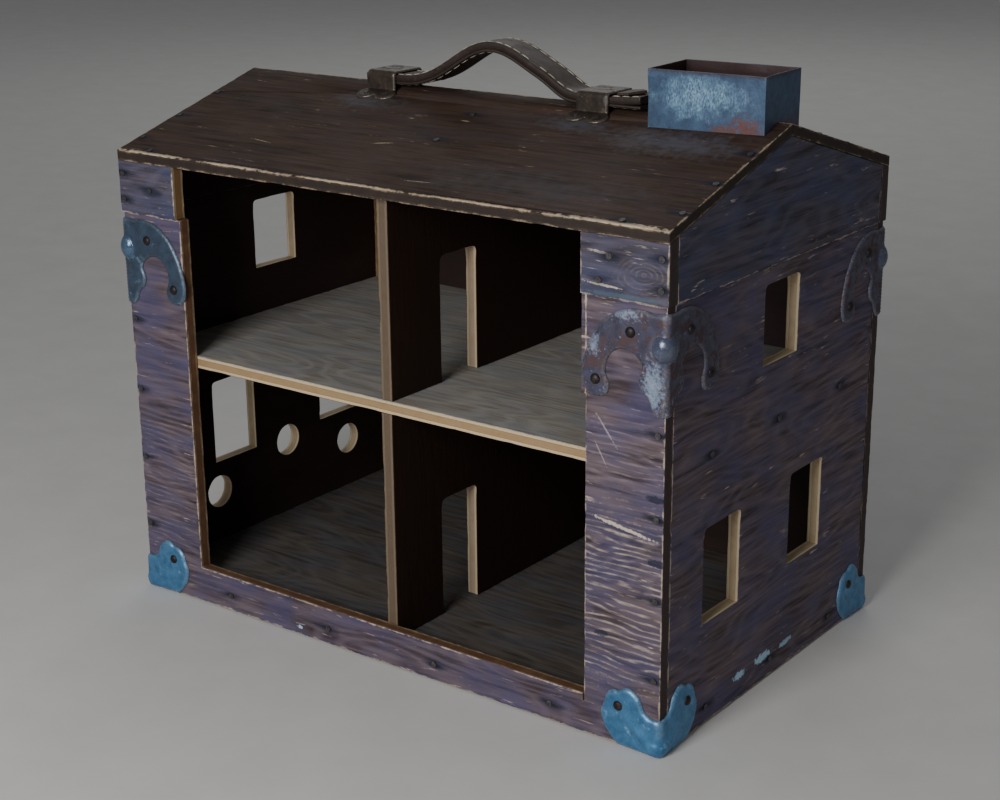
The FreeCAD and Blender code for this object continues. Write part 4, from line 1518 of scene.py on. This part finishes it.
@dataclass
class FootCorners:
    """Stamped enamelled corners under the house: two round wings, a knob and a small bottom plate."""

    marks: tuple[tuple[float, float], ...] = (
        (0.0, 25.0),
        (6.0, 25.5),
        (11.0, 29.0),
        (14.0, 36.0),
        (20.5, 41.2),
        (25.5, 41.2),
        (30.0, 38.4),
        (34.5, 38.0),
        (39.0, 34.5),
        (41.0, 28.5),
        (43.5, 21.0),
        (41.5, 12.0),
        (36.5, 5.0),
        (31.0, 0.0),
    )
    knob_radius: float = 7.0
    knob_inset: float = 4.6
    knob_height: float = 5.5
    bend: float = 2.0
    plate: float = 30.0
    plate_round: float = 20.0
    plate_thick: float = 1.45

    @staticmethod
    def bump(spot: Vector) -> float:
        """A rounded rib that runs from the rivet down to the knob, with a groove below it."""
        start, end = Vector((21.0, 19.0)), Vector((5.0, 5.0))
        place = Vector((abs(spot.x), spot.y))
        way = (end - start).normalized()
        share = min(1.0, max(0.0, (place - start).dot(way) / (end - start).length))
        away = place - start.lerp(end, share)
        groove = (place - start - Vector((2.0, -5.0))).dot(Vector((-way.y, way.x)))
        dip = 0.5 * math.exp(-((groove / 1.6) ** 2)) * math.exp(-(((place - end).length / 17.0) ** 2))
        return 1.7 * math.exp(-((away.length / 4.2) ** 2)) * (0.4 + 0.6 * share) - dip

    def bottom(self, corner: Corner) -> bpy.types.Object:
        """Builds the plate that the house stands on at one corner."""
        steps = 14
        arc = [
            Vector((self.plate - self.plate_round, self.plate - self.plate_round))
            + self.plate_round * Vector((math.sin(turn), math.cos(turn)))
            for turn in (0.5 * math.pi * step / steps for step in range(steps + 1))
        ]
        outline = [Vector((0.3, 0.3)), Vector((0.3, self.plate)), *arc, Vector((self.plate, 0.3))]

        def lay(spot: Vector, height: float) -> Vector:
            """Lays a place of the plate under the house."""
            return corner.inward(0.0, WOOD_FOOT - height) - Vector(
                (corner.value[0] * (spot.x + BAND_STEP), corner.value[1] * (spot.y + BAND_STEP), 0.0)
            )

        name = f"foot_plate_{corner.ending}"
        return PressedSheet(name, outline, lay, thick=1.2, crown=self.plate_thick - 1.2, spacing=2.0).build()

    def build(self) -> None:
        """Builds the four foot corners."""
        marks = smooth_ring(self.marks, 4)
        half = [Vector((u, v)) for u, v in marks] + [Vector((0.0, -0.8))]
        for corner in Corner:
            sheet = PressedSheet(
                f"foot_{corner.ending}",
                mirrored_blank(half),
                corner.fold(self.bend),
                thick=1.5,
                crown=0.9,
                rise=4.0,
                bump=self.bump,
                ball=(corner.inward(self.knob_inset, self.knob_height + WOOD_FOOT), self.knob_radius),
                fine=(Vector((0.0, self.knob_height)), 9.0),
            )
            piece = sheet.build()
            plate = self.bottom(corner)
            for part in (piece, plate):
                part.data.materials.append(BLUE_STEEL.dress(part.name))
            place_piece(piece, HOUSE, "blued_steel", f"foot_corner_{corner.ending}")
            place_piece(plate, HOUSE, "blued_steel", f"foot_corner_{corner.ending}")


@dataclass
class StrapLoops:
    """Two sheet-steel loops that hold the carrying strap, each with two-lobed feet on the roof."""

    names: tuple[str, str] = ("left", "right")
    width: float = 26.0
    foot_width: float = 34.0
    reach: float = 15.0
    lobe: float = 8.5
    strap_width: float = 28.0
    side_gap: float = 0.8
    sheet: float = 1.4
    soften: float = 1.8

    def track(self, top: float) -> list[tuple[Vector, Vector]]:
        """Follows the underside of one half of a loop, from the middle of its top to its foot.

        Args:
            top: Height of the loop's underside over the strap, in millimetres.

        Returns:
            Places (y, z) a quarter of a millimetre apart, each with the outward direction.
        """
        side = 0.5 * self.strap_width + self.side_gap
        beyond = side + self.reach + 4.0
        marks = [
            Vector((0.0, top)),
            Vector((side, top)),
            Vector((side, roof_height(side))),
            Vector((beyond, roof_height(beyond))),
        ]
        fine = []
        for start, end in zip(marks, marks[1:]):
            parts = round((end - start).length / 0.25)
            fine.extend(start.lerp(end, part / parts) for part in range(parts))
        window = round(self.soften / 0.25)
        eased = []
        for index in range(len(fine)):
            reach = min(window, index, len(fine) - 1 - index)
            around = fine[index - reach : index + reach + 1]
            eased.append(sum(around, Vector((0.0, 0.0))) / len(around))
        result = []
        for index, spot in enumerate(eased):
            way = (eased[min(index + 1, len(eased) - 1)] - eased[max(index - 1, 0)]).normalized()
            result.append((spot, Vector((-way.y, way.x))))
        return result

    def outline(self, leg: float) -> list[Vector]:
        """The blank of a loop, laid flat.

        Args:
            leg: Length from the middle of the top to the foot, in millimetres.

        Returns:
            The outline.
        """
        half = 0.5 * self.width
        centre = Vector((0.5 * self.foot_width - self.lobe, leg + self.reach - self.lobe))
        quarter = [Vector((half, 0.0)), Vector((half, leg - 1.5))]
        quarter += [Vector((half + 0.8, leg + 1.0))]
        for step in range(15):
            turn = math.radians(-12.0 + 174.0 * step / 14)
            quarter.append(centre + self.lobe * Vector((math.cos(turn), math.sin(turn))))
        rear = quarter + [Vector((-spot.x, spot.y)) for spot in reversed(quarter)]
        front = [Vector((spot.x, -spot.y)) for spot in reversed(rear) if spot.y > 0.0]
        return rear + front

    @staticmethod
    def embossing(spot: Vector) -> float:
        """A raised oval ring on top of the loop, as a height in millimetres."""
        oval = math.hypot(spot.x / 8.5, spot.y / 6.0)
        return 0.8 * math.exp(-(((oval - 1.0) / 0.16) ** 2))

    def build(self) -> None:
        """Builds the two loops."""
        for name in self.names:
            node = f"handle_loop_{name}"
            low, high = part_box(node)
            middle = (low.x + high.x) / 2.0 / MM
            top = high.z / MM - self.sheet
            track = self.track(top)
            leg = 0.5 * self.strap_width + self.side_gap + top - roof_height(0.5 * self.strap_width)

            def lay(spot: Vector, height: float) -> Vector:
                """Lays a place of the blank over the strap and on the roof."""
                place, out = track[min(len(track) - 1, round(abs(spot.y) / 0.25))]
                spread = place + out * height
                return Vector((middle + spot.x, math.copysign(spread.x, spot.y), spread.y))

            sheet = PressedSheet(
                f"loop_{name}",
                self.outline(leg),
                lay,
                thick=self.sheet,
                crown=0.25,
                rise=1.6,
                spacing=1.1,
                bump=self.embossing,
            )
            piece = sheet.build()
            piece.data.materials.append(LOOP_STEEL.dress(piece.name))
            place_piece(piece, HOUSE, "tarnished_steel", node)


def mirrored_blank(half: Sequence[Vector]) -> list[Vector]:
    """Doubles the outline of one wing into a blank that is folded down its middle."""
    other = [Vector((-spot.x, spot.y)) for spot in reversed(half)]
    return [*half, *(spot for spot in other if abs(spot.x) > 1e-6)]


# ---------------------------------------------------------------------------- strap


@dataclass(frozen=True)
class Leather:
    """Vegetable-tanned strap leather, handled until the high places are dark and smooth.

    Fine pores, creases across the bend, a pressed line under each row of stitches, and edges
    that are burnished darker.
    """

    name: str = "burnished_strap_leather"
    base: str = "#31231a"
    warm: str = "#483424"
    dark: str = "#1d1412"
    rubbed: str = "#6d5140"
    groove: float = 11.0
    roughness: float = 0.46

    def dress(self, name: str) -> bpy.types.Material:
        """Builds the material.

        Args:
            name: Ending of the material's name.

        Returns:
            The material.
        """
        shade = Shade(f"{self.name}.{name}")
        cloud = shade.patches(14.0, 0.34, 0.66, detail=5.0)
        fine = shade.patches(0.9, 0.30, 0.70, detail=5.0, shift=3.0)
        crease = shade.patches(1.6, 0.52, 0.66, (1.0, 0.14, 1.0), 5.0, 13.0)
        colour = shade.over(self.base, self.warm, shade.sum_of(cloud, 0.7))
        colour = shade.over(colour, self.dark, shade.sum_of(fine, 0.45))
        colour = shade.over(colour, self.dark, shade.sum_of(crease, 0.5))
        worn = shade.patches(7.0, 0.60, 0.70, detail=8.0, shift=31.0)
        colour = shade.over(colour, self.rubbed, shade.sum_of(worn, 0.55))
        across = shade.add("ShaderNodeSeparateXYZ", {0: shade.place}).outputs["Y"]
        across = shade.add("ShaderNodeMath", {0: across}, operation="ABSOLUTE")
        line = shade.add("ShaderNodeMath", {0: across, 1: self.groove}, operation="SUBTRACT")
        line = shade.add("ShaderNodeMath", {0: line}, operation="ABSOLUTE")
        line = shade.add(
            "ShaderNodeMapRange", {"Value": line, "From Min": 0.4, "From Max": 1.1, "To Min": 1.0, "To Max": 0.0}
        )
        colour = shade.over(colour, self.dark, shade.sum_of(line, 0.7))
        rim = shade.add("ShaderNodeMapRange", {"Value": across, "From Min": 12.9, "From Max": 13.8})
        colour = shade.over(colour, self.dark, shade.sum_of(rim, 0.6))
        height = shade.over("#9a9a9a", "#ffffff", fine)
        height = shade.over(height, "#505050", shade.sum_of(crease, 0.6))
        height = shade.over(height, "#000000", shade.sum_of(line, 0.8))
        gloss = shade.add(
            "ShaderNodeMapRange",
            {"Value": cloud, "To Min": self.roughness, "To Max": self.roughness + 0.16},
        )
        return shade.close(colour, gloss, height, 0.16)


@dataclass(frozen=True)
class Thread:
    """Waxed linen thread, twisted: pale, with painted shade as darker slanting lines between its strands, and patches
    of dirt.
    """

    name: str = "waxed_linen_thread"
    pale: str = "#c9c1ae"
    grime_and_groove_shade: str = "#7d705c"

    def dress(self) -> bpy.types.Material:
        """Builds the material."""
        shade = Shade(self.name)
        way = shade.add(
            "ShaderNodeVectorMath", {0: shade.place, 1: (5.6, 5.2, 0.0)}, operation="DOT_PRODUCT"
        )
        strand = shade.add("ShaderNodeMath", {0: way.outputs["Value"]}, operation="SINE")
        strand = shade.add("ShaderNodeMapRange", {"Value": strand, "From Min": -1.0, "From Max": 0.2})
        # Painted shade: the grooves between the twisted strands are painted darker.
        colour = shade.over(self.grime_and_groove_shade, self.pale, strand)
        dirt = shade.patches(12.0, 0.42, 0.66, detail=5.0)
        colour = shade.over(colour, self.grime_and_groove_shade, shade.sum_of(dirt, 0.65))
        return shade.close(colour, 0.8, strand, 0.12)


@dataclass
class CarryingStrap:
    """The two-layer strap: a thick facing stitched to a thin lining, with a pointed tip on top."""

    width: float = 28.0
    step: float = 1.5
    round_over: float = 0.9
    crown: float = 0.35
    fan_start: float = 344.0
    fan_lift: float = 1.5
    stitch: float = 6.0
    gap: float = 1.5
    thread: float = 0.44
    ease: int = 4
    row: float = 11.0
    tip_lift: float = 1.7

    def lift(self, x: float) -> float:
        """How far the loose right end has curled up at a place along the strap."""
        start = self.fan_start + WOOD_LEFT
        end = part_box("strap_facing")[1].x / MM
        return self.fan_lift * min(1.0, max(0.0, (x - start) / (end - start))) ** 1.4

    def line(self, node: str) -> list[tuple[float, float, float]]:
        """Finds the under and upper line of a layer down its middle.

        Args:
            node: The layer's frame node.

        Returns:
            Rows of place along the strap, lower height and upper height.
        """
        shape = bmesh.new()
        shape.from_mesh(frame["nodes"][node].data)
        tree = BVHTree.FromBMesh(shape)
        low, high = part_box(node)
        count = round((high.x - low.x) / (self.step * MM))
        rows = []
        for index in range(count + 1):
            x = low.x + (high.x - low.x) * index / count
            inset = min(max(x, low.x + 2e-5), high.x - 2e-5)
            over = tree.ray_cast(Vector((inset, 1e-5, high.z + 0.01)), Vector((0.0, 0.0, -1.0)))[0]
            under = tree.ray_cast(Vector((inset, 1e-5, low.z - 0.01)), Vector((0.0, 0.0, 1.0)))[0]
            rows.append((x / MM, under.z / MM, over.z / MM))
        shape.free()
        for _ in range(3):
            eased = []
            for index, (x, _, _) in enumerate(rows):
                reach = min(self.ease, index, len(rows) - 1 - index)
                around = rows[index - reach : index + reach + 1]
                eased.append((x, *(sum(row[part] for row in around) / len(around) for part in (1, 2))))
            rows = eased
        return rows

    def section(self, thick: float, upper: bool) -> list[tuple[float, float]]:
        """The outline of a layer cut square across.

        Args:
            thick: Thickness of the layer there, in millimetres.
            upper: Whether its upper face shows, rather than its lower one.

        Returns:
            Places (across, height), going round once.
        """
        half = 0.5 * self.width
        bend = min(self.round_over, 0.45 * thick)
        small = 0.3
        face = []
        for index in range(13):
            across = -(half - bend) + 2.0 * (half - bend) * index / 12
            face.append((across, thick - self.crown * (across / half) ** 2))
        edge_height = face[0][1]
        corner = [
            (half - bend + bend * math.sin(turn), edge_height - bend + bend * math.cos(turn))
            for turn in (math.radians(angle) for angle in (22.0, 45.0, 67.0, 90.0))
        ]
        back = [(half, small), (half - small, 0.0), (-half + small, 0.0), (-half, small)]
        ring = face + corner + back + [(-across, height) for across, height in reversed(corner)]
        if upper:
            return ring
        return [(across, thick - height) for across, height in reversed(ring)]

    def layer(self, name: str, node: str, upper: bool) -> bpy.types.Object:
        """Sweeps one layer along the strap's line."""
        shape = bmesh.new()
        rings = []
        for x, low, high in self.line(node):
            lifted = self.lift(x) if upper else 0.0
            ragged = 1.0 + 0.012 * noise.noise(Vector((x / 9.0, 0.0, low / 30.0)))
            ring = []
            for across, height in self.section(high - low, upper):
                place = Vector((x, across * ragged, low + height + lifted))
                ring.append(shape.verts.new(place * MM))
            rings.append(ring)
        count = len(rings[0])
        for first, second in zip(rings, rings[1:]):
            for index in range(count):
                other = (index + 1) % count
                shape.faces.new((first[index], first[other], second[other], second[index]))
        for face in shape.faces:
            face.smooth = True
        shape.faces.new(list(reversed(rings[0])))
        shape.faces.new(rings[-1])
        bmesh.ops.recalc_face_normals(shape, faces=shape.faces)
        return new_object(name, shape)

    def stitches(self) -> bpy.types.Object:
        """Sews two rows of stitches through both faces."""
        shape = bmesh.new()
        chance = random.Random(5)
        for node, upper in (("strap_facing", True), ("strap_lining", False)):
            rows = self.line(node)
            for side in (-self.row, self.row):
                x = rows[0][0] + 4.0
                while x + self.stitch < rows[-1][0] - 2.0:
                    ends = []
                    for here in (x, x + self.stitch):
                        index = min(len(rows) - 1, round((here - rows[0][0]) / self.step))
                        crowned = self.crown * (side / (0.5 * self.width)) ** 2
                        height = rows[index][2] + self.lift(here) - crowned if upper else rows[index][1] + crowned
                        across = side + chance.uniform(-0.15, 0.15)
                        ends.append(Vector((here, across, height)))
                    add_thread(shape, ends[0], ends[1], self.thread, 1.0 if upper else -1.0)
                    x += self.stitch + self.gap + chance.uniform(-0.2, 0.2)
        return new_object("strap_stitches", shape)

    def build(self) -> None:
        """Builds the layers, the tip and the stitches."""
        leather = Leather()
        facing = self.layer("strap_upper_layer", "strap_facing", True)
        lining = self.layer("strap_under_layer", "strap_lining", False)
        tip = worn_copy("strap_tip", "strap_end_tip", 0.5, 0.2, 3.0, 0.5)
        for vertex in tip.data.vertices:
            vertex.co.z += self.tip_lift * self.lift(vertex.co.x / MM) * MM
        for piece, node in ((facing, "strap_facing"), (lining, "strap_lining"), (tip, "strap_tip")):
            piece.data.materials.append(leather.dress(piece.name))
            place_piece(piece, HANDLE, "brown_leather", node)
        sewn = self.stitches()
        sewn.data.materials.append(Thread().dress())
        place_piece(sewn, HANDLE, "brown_leather", "strap_facing")


def add_thread(shape: bmesh.types.BMesh, start: Vector, end: Vector, radius: float, up: float) -> None:
    """Adds one stitch: a rounded length of thread that dips into the leather at both ends.

    Args:
        shape: The mesh that takes it.
        start: One end, in millimetres.
        end: The other end, in millimetres.
        radius: Half the thickness of the thread, in millimetres.
        up: 1 on the upper face and -1 on the lower one.
    """
    way = (end - start).normalized()
    side = way.cross(Vector((0.0, 0.0, 1.0))).normalized()
    out = side.cross(way) * up
    rings = []
    for step in range(9):
        share = step / 8
        swell = math.sin(math.pi * min(1.0, max(0.0, 0.06 + 0.88 * share))) ** 0.4
        middle = start.lerp(end, share) + out * radius * (swell * 0.9 - 0.75)
        ring = []
        for turn in (math.tau * corner / 8 for corner in range(8)):
            spot = middle + (side * math.cos(turn) + out * math.sin(turn)) * radius * swell
            ring.append(shape.verts.new(spot * MM))
        rings.append(ring)
    made = []
    for first, second in zip(rings, rings[1:]):
        for index in range(8):
            other = (index + 1) % 8
            made.append(shape.faces.new((first[index], first[other], second[other], second[index])))
    made.append(shape.faces.new(list(reversed(rings[0]))))
    made.append(shape.faces.new(rings[-1]))
    for face in made:
        face.smooth = True
    bmesh.ops.recalc_face_normals(shape, faces=made)


# ---------------------------------------------------------------------------- chimney and nails


@dataclass
class Chimney:
    """An open sleeve of zinc-coated sheet, slightly buckled, nailed down by tabs on the roof."""

    node: str = "chimney_sleeve"
    grid: float = 5.0
    dent: float = 0.9
    arris: float = 0.35

    def build(self) -> None:
        """Builds and dresses the sleeve."""
        piece = worn_copy(self.node, "chimney_sheet", self.arris, 0.0, 1000.0, 0.75)
        shape = bmesh.new()
        shape.from_mesh(piece.data)
        low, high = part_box(self.node)
        for way in range(3):
            for step in range(1, int((high[way] - low[way]) / (self.grid * MM)) + 1):
                plane = Vector((0.0, 0.0, 0.0))
                plane[way] = 1.0
                spot = plane * (low[way] + step * self.grid * MM)
                everything = shape.verts[:] + shape.edges[:] + shape.faces[:]
                bmesh.ops.bisect_plane(shape, geom=everything, plane_co=spot, plane_no=plane)
        foot = low.z + 9.0 * MM
        for vertex in shape.verts:
            share = smoothstep((vertex.co.z - foot) / (high.z - foot))
            move = noise.noise_vector(vertex.co / (24.0 * MM))
            move.z *= 0.35
            vertex.co += move * share * self.dent * MM
            vertex.co.z = min(vertex.co.z, high.z)
        for face in shape.faces:
            face.smooth = False
        shape.to_mesh(piece.data)
        shape.free()
        piece.data.materials.append(ZINC.dress("chimney"))
        place_piece(piece, HOUSE, "galvanised_sheet", self.node)


@dataclass
class RivetHeads:
    """Domed rivet heads that stand on the crown of the stamped corners."""

    nodes: tuple[str, ...] = ("clamp_rivets", "foot_rivets")
    radius: float = 3.5
    rise: float = 2.0
    raised: float = 0.75

    def build(self) -> None:
        """Builds one piece of domes for each rivet node."""
        for node in self.nodes:
            shape = bmesh.new()
            chance = random.Random(len(node))
            for places in loose_parts(node):
                low = Vector([min(place[i] for place in places) for i in range(3)])
                high = Vector([max(place[i] for place in places) for i in range(3)])
                middle = (low + high) / 2.0
                depth = 0 if high.x - low.x > high.y - low.y else 1
                out = Vector((0.0, 0.0, 0.0))
                out[depth] = math.copysign(1.0, middle[depth])
                top = max(place.dot(out) for place in places)
                base = middle - out * middle.dot(out) + out * (top - 1.7)
                self.dome(shape, base, out, chance.uniform(0.92, 1.04))
            piece = new_object(f"{node}_domes", shape)
            piece.data.materials.append(IRON.dress(piece.name))
            place_piece(piece, HOUSE, "dark_iron", node)

    def dome(self, shape: bmesh.types.BMesh, base: Vector, out: Vector, swell: float) -> None:
        """Adds one closed dome with a short neck that stands in the plate.

        Args:
            shape: The mesh that takes it.
            base: The middle of its seat, in millimetres.
            out: The way it faces.
            swell: Its size as a share of the usual one.
        """
        side = out.orthogonal().normalized()
        other = out.cross(side)
        profile = [(self.radius, -1.0), (self.radius, self.raised - 0.3)]
        for step in range(7):
            turn = 0.5 * math.pi * step / 7
            profile.append((self.radius * math.cos(turn), self.raised + self.rise * math.sin(turn)))
        rings = []
        for radius, height in profile:
            ring = []
            for turn in (math.tau * corner / 20 for corner in range(20)):
                spot = (side * math.cos(turn) + other * math.sin(turn)) * radius * swell
                ring.append(shape.verts.new((base + spot + out * height) * MM))
            rings.append(ring)
        crown = shape.verts.new((base + out * (self.raised + self.rise)) * MM)
        made = [shape.faces.new(rings[0])]
        for first, second in zip(rings, rings[1:]):
            for index in range(20):
                after = (index + 1) % 20
                made.append(shape.faces.new((first[index], first[after], second[after], second[index])))
        for index in range(20):
            made.append(shape.faces.new((rings[-1][index], rings[-1][(index + 1) % 20], crown)))
        for face in made[1:]:
            face.smooth = True
        bmesh.ops.recalc_face_normals(shape, faces=made)


@dataclass
class IronHeads:
    """The nails, which keep their frame shapes and are dressed as dark iron."""

    nodes: tuple[str, ...] = (
        "chimney_nails",
        "loop_nails",
        "frame_nails",
        "cap_nails",
        "back_nails",
        "wall_nails",
        "roof_nails",
    )

    def build(self) -> None:
        """Dresses every head."""
        iron = IRON.dress("heads")
        for node in self.nodes:
            piece = frame["nodes"][node]
            piece.data.materials.clear()
            piece.data.materials.append(iron)
            for face in piece.data.polygons:
                face.material_index = 0
            log.info("%s: dressed", node)


# ---------------------------------------------------------------------------- studio


@dataclass
class Studio:
    """A plain pale floor, a soft light from the front left, a weak fill and the camera."""

    camera_place: tuple[float, float, float] = (0.7821, -1.0312, 0.5824)
    bearing: float = 37.12
    tilt: float = -18.13
    roll: float = -0.55
    lens: float = 65.8
    floor_radius: float = 9.0
    key_power: float = 15.5
    fill_power: float = 2.2
    sky: str = "#d9dbde"
    sky_strength: float = 0.27
    rear_power: float = 12.0

    def floor(self) -> None:
        """Lays the floor."""
        shape = bmesh.new()
        bmesh.ops.create_circle(shape, cap_ends=True, radius=self.floor_radius, segments=64)
        ground = new_object("studio_floor", shape)
        shade = Shade("pale_matt_floor")
        speck = shade.patches(60.0, 0.3, 0.7, detail=3.0)
        colour = shade.over("#c9c7c4", "#cfcdca", speck)
        ground.data.materials.append(shade.close(colour, 0.85, speck, 0.0))

    def lamp(self, name: str, place: Sequence[float], size: float, power: float) -> None:
        """Hangs a square soft light that faces the house."""
        light = bpy.data.lights.new(name, "AREA")
        light.size = size
        light.energy = power
        made = bpy.data.objects.new(name, light)
        made.location = place
        aim = Vector((0.0, 0.0, 0.2)) - Vector(place)
        made.rotation_euler = aim.to_track_quat("-Z", "Y").to_euler()
        bpy.context.scene.collection.objects.link(made)

    def camera(self) -> None:
        """Sets up the camera."""
        lens = bpy.data.cameras.new("camera")
        lens.lens = self.lens
        lens.sensor_width = 36.0
        lens.clip_end = 60.0
        made = bpy.data.objects.new("camera", lens)
        look = (
            Matrix.Rotation(math.radians(self.bearing), 4, "Z")
            @ Matrix.Rotation(math.radians(90.0 + self.tilt), 4, "X")
            @ Matrix.Rotation(math.radians(self.roll), 4, "Z")
        )
        made.matrix_world = Matrix.Translation(Vector(self.camera_place)) @ look
        bpy.context.scene.collection.objects.link(made)
        bpy.context.scene.camera = made

    def build(self) -> None:
        """Builds the floor, the lights and the camera."""
        self.floor()
        self.lamp("key_light", (0.22, -1.35, 0.72), 0.55, self.key_power)
        self.lamp("fill_light", (2.0, -1.6, 1.2), 2.0, self.fill_power)
        self.lamp("rear_light", (-1.4, 2.4, 2.2), 1.8, self.rear_power)
        world = bpy.data.worlds.new("studio")
        world.use_nodes = True
        backing = world.node_tree.nodes["Background"]
        backing.inputs["Color"].default_value = linear(self.sky)
        backing.inputs["Strength"].default_value = self.sky_strength
        bpy.context.scene.world = world
        self.camera()


def main() -> None:
    """Builds the whole house in order."""
    logging.basicConfig(level=logging.INFO, format="%(message)s")
    Studio().build()
    Boards().build()
    CornerClamps().build()
    FootCorners().build()
    StrapLoops().build()
    CarryingStrap().build()
    Chimney().build()
    RivetHeads().build()
    IronHeads().build()


if __name__ == "__main__":
    main()
